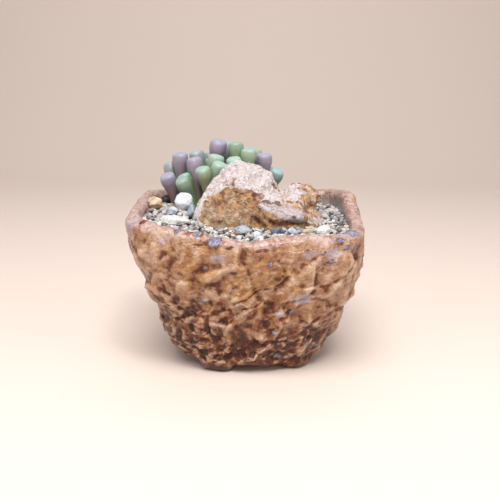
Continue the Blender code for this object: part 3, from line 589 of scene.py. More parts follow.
class Paint:
    """The nodes of one tree, and the colour that the layers laid so far have mixed."""

    def __init__(self, tree):
        self.tree = tree

    def node(self, kind, inputs=None, output=0, **settings):
        """Add a node with its options and fill its inputs with values or links. Give one output."""
        node = self.tree.nodes.new("ShaderNode" + kind)
        for key, value in settings.items():
            setattr(node, key, value)
        for key, value in (inputs or {}).items():
            if isinstance(value, bpy.types.NodeSocket):
                self.tree.links.new(value, node.inputs[key])
            else:
                node.inputs[key].default_value = value
        return node.outputs[output]

    def group(self, build, **values):
        """Use a node group, which build draws at its first use from the sockets that the values go into."""
        name = build.__name__.replace("_", " ")
        if name not in bpy.data.node_groups:
            tree = bpy.data.node_groups.new(name, "ShaderNodeTree")
            for label in values:
                kind = "NodeSocketVector" if label == "Normal" else "NodeSocketFloat"
                tree.interface.new_socket(label, in_out="INPUT", socket_type=kind)
            start = tree.nodes.new("NodeGroupInput").outputs
            result = build(Paint(tree), *(start[label] for label in values))
            if result.type == "VECTOR":
                tree.interface.new_socket("Normal", in_out="OUTPUT", socket_type="NodeSocketVector")
            else:
                tree.interface.new_socket("Mask", in_out="OUTPUT", socket_type="NodeSocketFloat")
            tree.links.new(result, tree.nodes.new("NodeGroupOutput").inputs[0])
        return self.node("Group", values, node_tree=bpy.data.node_groups[name])

    def math(self, operation, *values, **settings):
        return self.node("Math", dict(enumerate(values)), operation=operation, **settings)

    def times(self, first, second):
        return self.math("MULTIPLY", first, second, use_clamp=True)

    def total(self, *parts):
        """Sum of values, each times its own weight."""
        return reduce(lambda sum_so_far, part: self.math("MULTIPLY_ADD", *part, sum_so_far), parts, 0.0)

    def remap(self, value, low, high, to_low=0.0, to_high=1.0, **settings):
        inputs = {"Value": value, "From Min": low, "From Max": high, "To Min": to_low, "To Max": to_high}
        return self.node("MapRange", inputs, **settings)

    def layer(self, name, output="Fac"):
        """A value or a colour that is stored for each vertex."""
        return self.node("Attribute", output=output, attribute_name=name)

    def cloud(self, scale, detail, warping, roughness=0.5):
        inputs = {"Scale": scale, "Detail": detail, "Distortion": warping, "Roughness": roughness}
        inputs["Vector"] = self.node("TexCoord", output="Object")
        return self.node("TexNoise", inputs)

    def from_middle(self, cloud):
        """How far a noise lies from its middle value, which it passes along thin winding lines."""
        return self.math("ABSOLUTE", self.math("SUBTRACT", cloud, 0.5))

    def veins(self, scale, width):
        """Mask of thin winding lines."""
        return self.remap(self.from_middle(self.cloud(scale, 5, 1.4)), 0, width, 1, 0)

    def blotches(self, scale, middle=0.5, spread=0.12, detail=4, warping=0.6):
        values = {"Scale": scale, "Middle": middle, "Spread": spread, "Detail": detail, "Warping": warping}
        return self.group(soft_blotches, **values)

    def ragged(self, mask, scale):
        """A soft mask made to break up into crumbs at its edge."""
        crumbs = self.blotches(scale, spread=0.25, detail=6)
        return self.remap(self.total((mask, 1), (crumbs, 0.6)), 0.65, 0.95)

    def ramp(self, value, places, colours):
        result = self.node("ValToRGB", {"Fac": value})
        result.node.color_ramp.interpolation = "EASE"
        elements = result.node.color_ramp.elements
        while len(elements) < len(places):
            elements.new(0.5)
        for element, place, colour in zip(elements, places, colours):
            element.position = place
            element.color = colour
        return result

    def mix(self, share, under, over, blend="MIX"):
        """Mix two colours. Each is a colour value or a colour socket, and so is the share."""
        return self.node("Mix", {0: share, 6: under, 7: over}, output=2, data_type="RGBA", blend_type=blend)

    def cover(self, colour, strength, *masks, blend="MIX"):
        """Lay a colour over the mixed one, where all the masks are high."""
        share = reduce(self.times, masks)
        if strength < 1:
            share = self.times(share, strength)
        self.colour = self.mix(share, self.colour, colour, blend)

    def finish(self, grain=None):
        """Colour the shader, and pit its surface where the grain gives scale, strength, depth and pits."""
        self.tree.links.new(self.colour, self.shader.inputs["Base Color"])
        if grain:
            normal = self.group(pitted_grain, **dict(zip(("Scale", "Strength", "Depth", "Pits"), grain)))
            self.tree.links.new(normal, self.shader.inputs["Normal"])
        return self.material


def new_material(name, **sockets):
    """A Principled material. Plain numbers are set on the shader's own sockets."""
    material = bpy.data.materials.new(name)
    material.use_nodes = True
    paint = Paint(material.node_tree)
    paint.material = material
    paint.shader = material.node_tree.nodes["Principled BSDF"]
    for key, value in sockets.items():
        paint.shader.inputs[key.replace("_", " ")].default_value = value
    return paint


def soft_blotches(paint, scale, middle, spread, detail, warping):
    """A mask: a noise sharpened round its middle value."""
    low, high = (paint.math(way, middle, spread) for way in ("SUBTRACT", "ADD"))
    return paint.remap(paint.cloud(scale, detail, warping), low, high, interpolation_type="SMOOTHSTEP")


def pitted_grain(paint, scale, strength, depth, pits):
    """Normal of a finely pitted surface: fine noise with small round pits."""
    cells = paint.node("TexVoronoi", {"Vector": paint.node("TexCoord", output="Object"), "Scale": scale})
    sunk = paint.math("MULTIPLY", paint.remap(cells, 0, 0.35), pits)
    height = paint.math("ADD", paint.cloud(scale, 5, 0, 0.62), sunk)
    return paint.node("Bump", {"Height": height, "Strength": strength, "Distance": depth})


def torn_folds(paint, scale, depth, normal):
    """Normal of torn folds: sharp lines along which a warped noise passes its middle value, at two sizes."""
    heights = []
    for share in (1, 2.3):
        cloud = paint.cloud(paint.math("MULTIPLY", scale, share), 4, 1.2)
        heights.append((paint.remap(paint.from_middle(cloud), 0, 0.16), 1 / share))
    inputs = {"Height": paint.total(*heights), "Strength": 0.7, "Distance": depth, "Normal": normal}
    return paint.node("Bump", inputs)


# Pot


def tilted_cells(place, softness, turn):
    """Height of cells that lean this way and that, and the distances to the nearest centres of cells."""
    distances, centres = noise.voronoi(place)
    height = total = 0.0
    for distance, centre in zip(distances, centres):
        weight = exp((distances[0] - distance) / softness)
        height += weight * (noise.cell_vector(centre * turn) - Vector((0.5, 0.5, 0.5))).dot(place - centre)
        total += weight
    return height / total, distances


def facets(point, size, tilt_share, softness):
    """Flat facets that meet along soft edges. Also how near the point is to an edge."""
    place = point / size
    height, distances = tilted_cells(place + warp(place, 1.3) * 0.45, softness, 7.3)
    return height * tilt_share * size, distances[1] - distances[0]


def scoops(point, size, tilt_share, bowl):
    """Knife scoops in the wet clay: shallow leaning bowls that meet in crisp ridges."""
    place = Vector((point.x - 0.45 * point.z, point.y, 0.72 * point.z + 0.25 * point.x)) / size
    height, distances = tilted_cells(place + warp(place, 1.2) * 0.5, 0.045, 5.9)
    return (height * tilt_share + bowl * distances[0] ** 2) * size


def torn_ridges(point, size, depth, layers):
    """Sharp crumpled ridges, each layer finer than the last."""
    place = point + warp(point, size * 1.1) * size * 0.5
    height = 0.0
    for layer in range(layers):
        height += depth * (0.36 - 2.0 * abs(lumps(place, (1, size, 1 + layer % 3))))
        size *= 0.5
        depth *= 0.6
    return height


def flat_distance(point, spot, out):
    """Distance between two places on the wall, with little heed to how deep each lies."""
    away = Vector(spot) - point
    return (away - out * away.dot(out) * 0.85).length


def near_line(point, line, out):
    """Distance from a place on the wall to a line through several others."""
    return min(flat_distance(point, nearest_on(point, *ends)[1], out) for ends in zip(line, line[1:]))


def spot_mask(point, spots, out, wander):
    """How far inside one of the spots a place on the wall lies."""
    aways = (
        hypot(flat_distance(point, (x, y, point.z), out) / wide, (point.z - z) / tall)
        for x, y, z, wide, tall in spots
    )
    return deepest(aways, 2.2, 0.6, 1.25, wander)


def clay_relief(point, out, below):
    """Height of the worked clay over the smooth wall, and the spots of glaze on it."""
    fade, low = ease(0, 16, below), ease(20, 60, below)
    slab, edge = facets(point, SLAB_SIZE, SLAB_TILT, 0.09)
    height = lumps(point, (1.6, 27)) + slab - (0.2 + 0.5 * fade) * (1 - ease(0, 0.25, edge))
    height *= 0.4 + 0.6 * fade
    calm = 0.5 + 0.5 * ease(-0.2, 0.25, lumps(point, (1, 15, 2)) + 0.35 * low)
    height += (scoops(point, 8.5, 0.24, 0.15) - 0.3) * (0.35 + 0.65 * fade)
    height += (scoops(point + SHIFTS[1] * 9, 4.4, 0.36, 0.14) - 0.15) * (0.2 + 0.5 * fade + 0.3 * low) * calm
    height += torn_ridges(point, 9, 0.8, 4) * (0.2 + 0.6 * fade + 0.2 * low) * calm
    height += facets(point + SHIFTS[3], 4.2, 0.5, 0.03)[0] * (0.3 + 0.7 * low) * calm
    wander = lumps(point, (0.5, 2.4), (0.3, 1.1))
    if point.y < 0:
        crack = min(near_line(point, line, out) for line in CRACKS) + 0.8 * wander
        height -= 0.75 * (1 - ease(0.1, 0.9, crack))
    chip = spot_mask(point, BLUE_CHIP, out, wander * 0.5)
    stray = lumps(point, (1, 6.2, 1), (0.5, 1.6))
    violet = 0.6 * ease(0.7, 0.85, stray) * (1 - 0.6 * low)
    violet = max(chip, spot_mask(point, VIOLET_SPOTS, out, wander), violet)
    stray = lumps(point, (1, 4.1, 3), (0.5, 1.4, 2))
    rust = max(spot_mask(point, RUST_SPOTS, out, wander), 0.8 * ease(0.56, 0.7, stray) * (0.2 + 0.8 * low))
    # Thin blue-white glaze, with a painted glint at the first spot
    frost = 0.75 * spot_mask(point, FROST_AND_GLINT_SPOTS, out, 1.2 * wander)
    return height + 0.9 * chip + 0.2 * violet * (1 - chip), (low, violet, rust, frost)


def pot_surface(form):
    """Where a point of the turned form lies on the smooth pot, and how much of the clay relief it takes."""
    angle, radius, height = atan2(form.y, form.x), hypot(form.x, form.y), form.z
    height += (rim_height(angle) - RIM_TOP) * ease(20, RIM_TOP, height)
    if radius >= FORM_FLAT:
        point = wall_point(angle, height, FORM_RADIUS - radius)
    else:
        drain = Vector((*DRAIN_CENTRE, height)) + outward(angle) * DRAIN_RADIUS
        edge = wall_point(angle, height, FORM_RADIUS - FORM_FLAT)
        point = drain.lerp(edge, (radius - DRAIN_RADIUS) / (FORM_FLAT - DRAIN_RADIUS))
    outside = ease(46.6, 51, radius)
    if height < 8:
        foot = max(1 - ease(size - 1.4, size + 2.2, dist((x, y), (point.x, point.y))) for x, y, size in FEET)
        point.z -= min(UNDERSIDE, point.z) * foot * (1 - ease(UNDERSIDE + 0.5, 9, height))
        outside *= 0.25 + 0.75 * ease(2, 9, point.z)
    return point, angle, outside


def ochre_mask(point):
    """Where the ochre wash lies thick: the middle of the front, the foot, and patches all round."""
    front = oval(point, -8, 38, 34, 26) if point.y < -10 else 1
    thick = ease(1.25, 0.6, front - 0.6 * lumps(point, (1, 24, 2))) * (0.4 + 0.6 * ease(74, 60, point.z))
    return max(0.35 + 0.65 * thick, ease(40, 16, point.z))


def build_pot():
    settings = bpy.context.scene.baby_toes.pot
    profile = [(radius, UNDERSIDE) for radius in UNDERSIDE_RINGS] + [*FOOT_EDGE]
    profile += [(FORM_RADIUS, height) for height in np.linspace(*WALL_SPAN, WALL_ROWS).tolist()]
    profile += [*LIP, *INNER_RINGS]
    pot = turned_form("pot_clay", profile, POT_SIDES, bpy.ops.mesh.bridge_edge_loops, 2)
    mesh = pot.data
    points = read(mesh.vertices, "co") / MM
    relief, rim, inside, ochre = (np.zeros(len(points)) for _ in range(4))
    spots = np.zeros((len(points), 4))
    for i, form in enumerate(points):
        point, angle, outside = pot_surface(Vector(form))
        below, out = rim_height(angle) - point.z, outward(angle)
        if outside > 0:
            height, spots[i] = clay_relief(point, out, below)
            relief[i] = height * outside * settings.relief
        else:
            inside[i] = ease(2, 6, below) * ease(8, 10, point.z)
        point += out * relief[i]
        lump = lumps(point, (0.9, 7), (0.3, 2.4), (0.15, 1.2)) * (1 - ease(1, 7, below))
        point.z += lump * (0.6 + 0.4 * outside)
        relief[i] += lump * (0.2 + 0.8 * outside)
        if outside == 0 and below < 16:
            torn = lumps(point, (0.5, 3.2), (0.35, 1.5))
            point += out * torn
            relief[i] += torn
        edge = (0.4 + 0.6 * outside) * lumps(point, (3, 6), (1.2, 2))
        rim[i] = 1 - ease(0.5, 4 + 2 * (1 - outside), below + edge)
        ochre[i] = ochre_mask(point)
        points[i] = point
    write_points(mesh, points * MM)
    write_layers(mesh, rim=rim, inside=inside, ochre=ochre, **dict(zip(SPOT_MASKS, spots.T)))
    write_layers(mesh, hollow=relief - smoothed(mesh, relief, 14), dip=relief - smoothed(mesh, relief, 60))
    mesh.shade_smooth()
    dress(pot, pot_material(settings), "glazed_clay", "pot")


def pot_material(look):
    paint = new_material(
        "Glazed clay", Roughness=look.gloss, Coat_Weight=0.3, Coat_Roughness=0.12, Specular_IOR_Level=0.35
    )
    blotches, cover, remap = paint.blotches, paint.cover, paint.remap
    low, hollow, rim, violet = (paint.layer(name) for name in ("low", "hollow", "rim", "violet"))
    # Colour by the height of the relief: glaze pooled dark in the creases, and paler on the ridges, partly as
    # a painted highlight
    height = paint.total(
        (remap(hollow, -0.45, 0.45), 0.35),
        (remap(paint.layer("dip"), -0.9, 0.9), 0.28),
        (blotches(75, spread=0.15, detail=7, warping=1.6), 0.2),
        (blotches(420, spread=0.2, detail=9, warping=1), 0.15),
        # Painted shade: the colour grows darker towards the foot
        (low, -0.25),
    )
    paint.colour = paint.ramp(height, (0.06, 0.24, 0.43, 0.72), (look.deep, look.brown, look.clay, look.pale))
    cover(look.wash, 0.85, blotches(62, 0.5, 0.05, 8, 2), paint.layer("ochre"), blend="MULTIPLY")
    # Red-brown multiplied in more strongly towards the foot: partly the clay's own red-brown, partly painted
    # shade
    cover(look.earth, 0.8, blotches(110, 0.52, 0.08, 8, 1.4), remap(low, 0, 1, 0.25, 1), blend="MULTIPLY")
    # Pale on the ridges, most of all low on the pot: partly glaze worn thin, partly a painted highlight
    cover(look.pale, 0.9, remap(hollow, 0.19, 0.52), remap(low, 0, 1, 0.15, 0.8))
    cover((0.72, 0.66, 0.62, 1), 0.35, blotches(1500, spread=0.2, detail=2, warping=0), blend="MULTIPLY")
    cover(look.deep, 0.65, remap(hollow, -0.62, -0.3, 1, 0), blotches(200, 0.42))
    cover(look.rust, 0.5, paint.veins(85, 0.018), blotches(95, 0.5, 0.07))
    cover(look.brown, 0.6, paint.veins(150, 0.024), blotches(80, 0.54, 0.06))
    cover(look.deep, 1, paint.veins(230, 0.04), blotches(110, 0.5, 0.1), low)
    cover(look.blush, 0.85, rim, blotches(560, 0.44, 0.2, 8))
    cover(look.stain, 0.7, rim, blotches(480, 0.56, 0.09, 8))
    cover(look.bare, 1, paint.layer("inside"))
    rust = paint.mix(blotches(500, 0.46), look.rust, look.deep)
    cover(rust, 0.85, paint.ragged(paint.layer("rust"), 800))
    # Thin blue-white glaze, and at the first spot a painted glint
    cover(look.frost, 0.9, paint.layer("frost"), blotches(260, 0.46, 0.16, 8))
    dusk = paint.mix(paint.times(blotches(420, 0.53, 0.1), 0.6), look.violet, look.frost)
    dusk = paint.mix(remap(violet, 0.65, 0.95, 1, 0), dusk, look.dusk)
    cover(dusk, 1, paint.ragged(violet, 800), blotches(600, 0.38, 0.14))
    gloss = paint.total((blotches(300, spread=0.3), 0.3), (rim, 0.14))
    gloss = remap(gloss, 0, 0.44, look.gloss - 0.12, look.gloss + 0.28)
    paint.tree.links.new(gloss, paint.shader.inputs["Roughness"])
    paint.finish((520, 0.8, 0.0009, 0.4))
    normal = paint.shader.inputs["Normal"]
    folds = paint.group(torn_folds, Scale=120, Depth=0.0006, Normal=normal.links[0].from_socket)
    paint.tree.links.new(folds, normal)
    return paint.material


# Gravel


def gravel_level(x, y):
    """Mean height of the gravel, the same as in the plain solid."""
    bank_x, bank_y, spread, bank = GRAVEL_BANK
    level = GRAVEL_FRONT + GRAVEL_RISE_BACK * ease(-34, 14, y) + GRAVEL_RISE_LEFT * (1 - ease(-31, -5, x))
    level += bank * exp(-((x - bank_x) ** 2 + (y - bank_y) ** 2) / spread)
    angle = atan2(y, x)
    edge = wall_point(angle, 62, WALL_THICKNESS)
    from_middle = hypot(x, y) / hypot(edge.x, edge.y)
    excess = max(0.0, level - (rim_height(angle) - GRAVEL_UNDER_RIM))
    return level - excess * ease(0.6, 0.92, from_middle)


def flat_cuts(seed, count, near, far):
    """Planes that cut a round stone flat: seeded directions, and how far out each lies."""
    draw = random.Random(seed)
    cuts = []
    for _ in range(count):
        away = Vector((draw.gauss(0, 1), draw.gauss(0, 1), draw.gauss(0, 1))).normalized()
        cuts.append((away, draw.uniform(near, far)))
    return cuts


def cut_flat(point, cuts):
    for away, reach in cuts:
        over = point.dot(away) - reach
        if over > 0:
            point = point - away * over * 0.92
    return point


def grain_masters(count):
    """A few rounded, uneven grains of 24 faces each, as points about the middle."""
    pick()
    bpy.ops.mesh.primitive_cube_add(size=2)
    master = new_piece("grain")
    apply_modifier(master, "SUBSURF", levels=1, render_levels=1)
    round_points, faces = take_apart(master)
    shapes = []
    for i in range(count):
        cuts = flat_cuts(GRAIN_SEED + i, 5, 0.55, 0.85)
        aways = (Vector(point).normalized() for point in round_points)
        lumpy = (away * (1 + 0.3 * noise.noise(away * 1.3 + Vector((i * 3.7, 0, 1)))) for away in aways)
        shapes.append(np.array([cut_flat(point, cuts) for point in lumpy]))
    return shapes, faces


def scatter(spacing, reach, seed, tries):
    """Seeded places in plan, inside the wall, with a least distance between them."""
    draw = random.Random(seed)
    cells = {}
    for _ in range(tries):
        x, y = draw.uniform(-reach, reach), draw.uniform(-reach, reach)
        edge = wall_point(atan2(y, x - GRAVEL_MIDDLE), GRAVEL_EDGE, WALL_THICKNESS - 0.2)
        if hypot(x - GRAVEL_MIDDLE, y) >= hypot(edge.x - GRAVEL_MIDDLE, edge.y):
            continue
        column, row = int(x // spacing), int(y // spacing)
        near = [cells.get((column + i, row + j)) for i in (-1, 0, 1) for j in (-1, 0, 1)]
        if not any(other and dist(other, (x, y)) < spacing for other in near):
            cells[column, row] = (x, y)
            yield x, y


def merged_solid(node):
    """A CAD node's mesh with its doubled vertices merged."""
    bm = bmesh.new()
    bm.from_mesh(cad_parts[node].data)
    bmesh.ops.remove_doubles(bm, verts=bm.verts, dist=WELD)
    return bm


def buried(tree, point, depth):
    """Whether a point lies deeper than this inside a closed solid."""
    if tree.find_nearest(point, 0.03)[3] is None or tree.find_nearest(point)[3] < depth:
        return False
    crossings, place = 0, point
    while place is not None:
        place = tree.ray_cast(place, Vector((0.013, 0.007, 1)))[0]
        if place is not None:
            crossings += 1
            place = place + Vector((0, 0, 1e-6))
    return crossings % 2 == 1


def gravel_base():
    """The grit under the loose grains: a closed disc that follows the gravel's level."""
    pick()
    bpy.ops.mesh.primitive_grid_add(x_subdivisions=60, y_subdivisions=56, size=2)
    base = new_piece("gravel_base")
    points = read(base.data.vertices, "co").astype(float)
    for i, (u, v, _) in enumerate(points):
        radius = max(abs(u), abs(v))
        edge = wall_point(atan2(v, u), GRAVEL_EDGE, WALL_THICKNESS - 0.4)
        x, y = GRAVEL_MIDDLE + (edge.x - GRAVEL_MIDDLE) * radius, edge.y * radius
        lift = lumps(Vector((x, y, 0)), (0.5, 2))
        points[i] = (x, y, gravel_level(x, y) - 1.5 + lift)
    write_points(base.data, points * MM)
    with whole_mesh():
        bpy.ops.mesh.extrude_region_move()
        bpy.ops.transform.resize(value=(1, 1, 0), center_override=(0, 0, GRAVEL_BOTTOM * MM))
    return base


def build_gravel():
    settings = bpy.context.scene.baby_toes.gravel
    stones = [("rock", 0.0006)] + [(name, 0.0004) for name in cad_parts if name.startswith("pebble")]
    trees = [(BVHTree.FromBMesh(merged_solid(name)), depth) for name, depth in stones]
    draw = random.Random(GRAIN_SEED)
    shapes, faces = grain_masters(10)
    tints, weights = zip(*((tone(*shades), weight) for shades, weight in GRAIN_TINTS))
    copies, colours = [], []
    for x, y in scatter(settings.spacing / MM, 50, GRAVEL_SEED, 26000):
        size = settings.grain / MM / 2 * draw.uniform(0.62, 1.25)
        scale = [size * draw.uniform(*span) for span in ((0.9, 1.35), (0.8, 1.05), (0.55, 0.8))]
        turn = Euler((draw.gauss(0, 0.45), draw.gauss(0, 0.45), draw.uniform(0, tau))).to_matrix()
        lift = draw.uniform(-0.9, 0.5)
        shape = shapes[draw.randrange(len(shapes))]
        tint = np.array(draw.choices(tints, weights)[0]) * draw.uniform(0.76, 1.08)
        middle = Vector((x, y, gravel_level(x, y) + lift)) * MM
        if not any(buried(tree, middle, depth) for tree, depth in trees):
            copies.append(shape * np.array(scale) @ np.array(turn).T * MM + np.array(middle))
            colours.append(np.tile(tint, (len(shape), 1)))
    base = gravel_base()
    grains = mesh_piece("gravel_grains")
    repeat_shape(grains.data, copies, faces)
    write_layers(grains.data, grain=np.concatenate(colours))
    # The grit under the grains is dark: partly its own grey-brown, partly painted shade in the gaps between
    # the grains
    write_layers(base.data, grain=np.tile(tone(84, 78, 74), (len(base.data.vertices), 1)))
    pick(grains, base)
    bpy.ops.object.join()
    gravel = new_piece("loose_gravel")
    settle(gravel)
    bpy.ops.object.shade_smooth_by_angle(angle=radians(42))
    paint = new_material("Loose gravel", Roughness=0.72)
    paint.colour = paint.layer("grain", "Color")
    paint.cover((0.56, 0.54, 0.53, 1), 1, paint.blotches(900, spread=0.3), blend="MULTIPLY")
    dress(gravel, paint.finish((1800, 0.5, 0.0002, 0.2)), "grit", "gravel_bed")


# Rock


def band_place(point):
    """How far across the layered band a place lies, 0 in its middle and 1 at its edge, and on which side."""
    least, side = 9.0, 0.0
    for (*start, half0), (*end, half1) in zip(BAND_LINE, BAND_LINE[1:]):
        share, middle = nearest_on(Vector((point.x, point.z)), start, end)
        x, z = point.x - middle[0], point.z - middle[1]
        away = hypot(x, z) / (half0 + (half1 - half0) * share)
        if away < least:
            least, side = away, copysign(away, z + 0.4 * x)
    return least, side


def in_wedge(point):
    """How far inside the pale wedge a place lies."""
    return min(
        ((z1 - z0) * (point.x - x0) - (x1 - x0) * (point.z - z0)) / hypot(x1 - x0, z1 - z0)
        for (x0, z0), (x1, z1) in zip(WEDGE, WEDGE[1:] + WEDGE[:1])
    )


def stain_mask(point, stains, wander):
    return deepest((oval(point, *stain) for stain in stains), 2, 0.4, 1.4, wander)


def rock_form(point):
    """Height of the rock's facets, layers and chips, and its colour masks."""
    front = 1 - ease(-9, -4, point.y - 0.25 * max(point.x - 16, 0))
    height = facets(point, 9, 0.36, 0.06)[0] + facets(point + SHIFTS[2], 3.6, 0.34, 0.05)[0]
    height += torn_ridges(point, 5, 0.26, 3) + 0.34 * noise.fractal(point / 1.3, 0.8, 2.2, 3)
    wander = lumps(point, (0.6, 3), (0.6, 1.2))
    below = float(np.interp(point.x, *BROWN_LINE)) - point.z + 1.6 * wander
    halo = 0.5 * ease(-11, -1, below) * ease(-19, -9, point.x) * ease(-0.2, 0.3, lumps(point, (1, 4)))
    face = max(ease(-0.6, 0.9, below), halo) * front
    patchy = ease(0.05, 0.3, lumps(point, (1, 9), (0.4, 2.4))) * (1 - front) * ease(88, 81, point.z)
    across, side = band_place(point + Vector((0, 0, 0.8 * wander)))
    wedge = ease(-0.3, 0.3, in_wedge(point) + 0.5 * wander) * front
    band = (1 - ease(0.75, 1.1, across)) * front * (1 - wedge)
    height = height * (1 - 0.6 * band) + 0.9 * band * sqrt(1 - min(across, 1) ** 2) + 0.7 * wedge
    layers = lumps(Vector((0.1 * point.x, 0.3 * point.y, 2.4 * side + 0.25 * point.z)), (1, 1, 2))
    # Along the seam between the wedge and the band: a shallow groove, and a painted shadow in it
    shadow_seam = ease(0.28, 0.1, abs(across - 1.15)) * ease(0, 0.4, side) * ease(17, 14, point.x) * front
    height += 0.25 * layers * band - 0.5 * shadow_seam
    specks = 0.8 * ease(0.45, 0.6, wander) * face
    dark = max(stain_mask(point, DARK_SPECKS_AND_SHADOW_LINE, 0.8 * wander) * front, specks, 0.9 * shadow_seam)
    lobe = ease(14, 19, point.x + wander) * (0.75 + 0.6 * ease(-0.1, 0.4, lumps(point, (1, 2.6))))
    lobe *= ease(0.6, 1.3, oval(point, *WHITE_PATCH) + wander) * ease(66, 70, point.z)
    streaks = 0.8 * ease(0.1, 0.5, lumps(point, (1, 5))) * patchy
    gold = max(stain_mask(point, GOLD_STAINS, 1.1 * wander) * front, streaks, 0.9 * lobe) * (1 - 0.8 * band)
    brown = max(face * (1 - band) * (1 - wedge), 0.5 * patchy, 0.5 * lobe * (1 - band))
    sandy = max((1 - ease(72, 76, point.z + 2 * wander)) * (1 - ease(-6, 2, point.x)) * front, 0.8 * lobe)
    return height, (brown, gold, dark, sandy, band * (0.5 + ease(-0.3, 0.3, layers) * 0.5))


def rock_shift(point):
    """How far a place on the plain rock moves to the drawn-in form of the real one."""
    x, y, z = point
    waist = bell(z - 72.3, 3.6) * ease(22, 33, x)
    foot = ease(82, 70, z) * ease(8, -8, x)
    under = ease(5, 9, x) * ease(30, 22, x) * ease(-9, -13, y)
    under *= ease(1.5, -2, z - float(np.interp(x, *BAND_FOOT)))
    drop = ROCK_CREST_DROP * bell(x - 10, 4.5) * ease(82, 86, z)
    drop += ROCK_SADDLE_DROP * bell(x - 17, 3.6) * ease(77, 81, z) + 0.8 * ease(20, 24, x) * ease(74, 80, z)
    rise = ROCK_RISE * min(max((z - 74) / 20, 0), 1)
    left, forward = ROCK_SPREAD
    return Vector((-ROCK_WAIST * waist - left * foot, -ROCK_FILL * under - forward * foot, rise - drop))


def build_rock():
    settings = bpy.context.scene.baby_toes.rock
    rock = mesh_piece("rock_stone")
    mesh = rock.data
    merged_solid("rock").to_mesh(mesh)
    apply_modifier(rock, "REMESH", mode="VOXEL", voxel_size=settings.detail, adaptivity=0)
    apply_modifier(rock, "SMOOTH", factor=0.5, iterations=4)
    points = np.array([point + rock_shift(Vector(point)) for point in read(mesh.vertices, "co") / MM])
    write_points(mesh, points * MM)
    normals = read(mesh.vertex_normals, "vector")
    relief, masks = zip(*(rock_form(Vector(point)) for point in points))
    relief = np.array(relief)
    write_points(mesh, (points + normals * (relief[:, None] + 0.3)) * MM)
    write_layers(mesh, hollow=relief - smoothed(mesh, relief, 10))
    write_layers(mesh, **dict(zip(ROCK_MASKS, np.transpose(masks))))
    mesh.shade_smooth()
    dress(rock, rock_material(settings), "rock_stone", "rock")


def rock_material(look):
    paint = new_material("Weathered rock", Roughness=0.88)
    blotches, cover, mix, remap, times = paint.blotches, paint.cover, paint.mix, paint.remap, paint.times
    brown = mix(blotches(260, 0.49, detail=9), look.sandy, look.brown)
    brown = mix(times(blotches(420, 0.56, 0.09, 9), 0.5), brown, look.cream)
    fair = mix(blotches(330, 0.5, 0.14, 9), look.sandy, look.cream)
    brown = mix(times(paint.layer("sandy"), 0.65), brown, fair)
    band = paint.layer("band")
    layered = mix(times(remap(band, 0.6, 1), 0.75), look.band, look.crust)
    paint.colour = mix(times(blotches(440, 0.53, detail=9), 0.36), look.crust, look.stone)
    cover(brown, 1, paint.ragged(paint.layer("brown"), 500))
    gold = mix(blotches(500, 0.56), look.gold, look.brown)
    cover(gold, 0.9, remap(paint.layer("gold"), 0.1, 0.8), blotches(560, 0.45, 0.13, 9))
    cover(layered, 1, remap(band, 0.1, 0.45))
    cover((0.56, 0.51, 0.49, 1), 0.6, blotches(1500, spread=0.2, detail=3, warping=0.3), blend="MULTIPLY")
    cover(look.speck, 0.45, blotches(900, 0.62, 0.05, 3))
    # Dark specks and lines, with a painted shadow line under the pale wedge and along the seam
    cover(look.speck, 0.8, paint.ragged(paint.layer("dark"), 600))
    cover(look.brown, 0.5, remap(paint.layer("hollow"), -0.5, 0, 1, 0))
    return paint.finish((900, 1, 0.0008, 0.5))


# Pebbles


def build_pebbles():
    for index, (name, (shift, size, turn, angular, stone, first, second)) in enumerate(PEBBLES.items()):
        low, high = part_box(name)
        middle = (low + high) / 2 / MM + Vector(shift)
        pick()
        bpy.ops.mesh.primitive_ico_sphere_add(subdivisions=5, radius=1)
        pebble = new_piece(name + "_stone")
        points = read(pebble.data.vertices, "co").astype(float)
        turned = Matrix.Rotation(radians(turn), 3, "Z") @ Matrix.Diagonal(Vector(size) / 2)
        near, far = 1.02 - 0.38 * angular, 1.04 - 0.12 * angular
        cuts = flat_cuts(PEBBLE_SEED + index, 4 + round(10 * angular), near, far)
        own_place = SHIFTS[1 + index % 3] + Vector((index * 2.3, 0, 0))
        for i, away in enumerate(map(Vector, points)):
            lump = 0.16 * noise.noise(away * 1.1 + own_place) + 0.06 * noise.noise(away * 2.6 + own_place)
            away = cut_flat(away * (1.03 + lump), cuts)
            away *= 1 + 0.022 * noise.fractal(away * 5 + own_place, 0.8, 2.1, 3)
            points[i] = turned @ away + middle
        write_points(pebble.data, points * MM)
        settle(pebble)
        pebble.data.shade_smooth()
        paint = new_material(name.replace("_", " ").capitalize(), Roughness=0.6)
        paint.colour = paint.mix(paint.blotches(420, 0.54, 0.14, 7), tone(*first), tone(*second))
        paint.cover((0.6, 0.57, 0.55, 1), 0.4, paint.blotches(1500, spread=0.2, detail=3), blend="MULTIPLY")
        dress(pebble, paint.finish((1300, 0.7, 0.0004, 0.5)), f"pebble_{stone}_stone", name)


# Heads of leaves


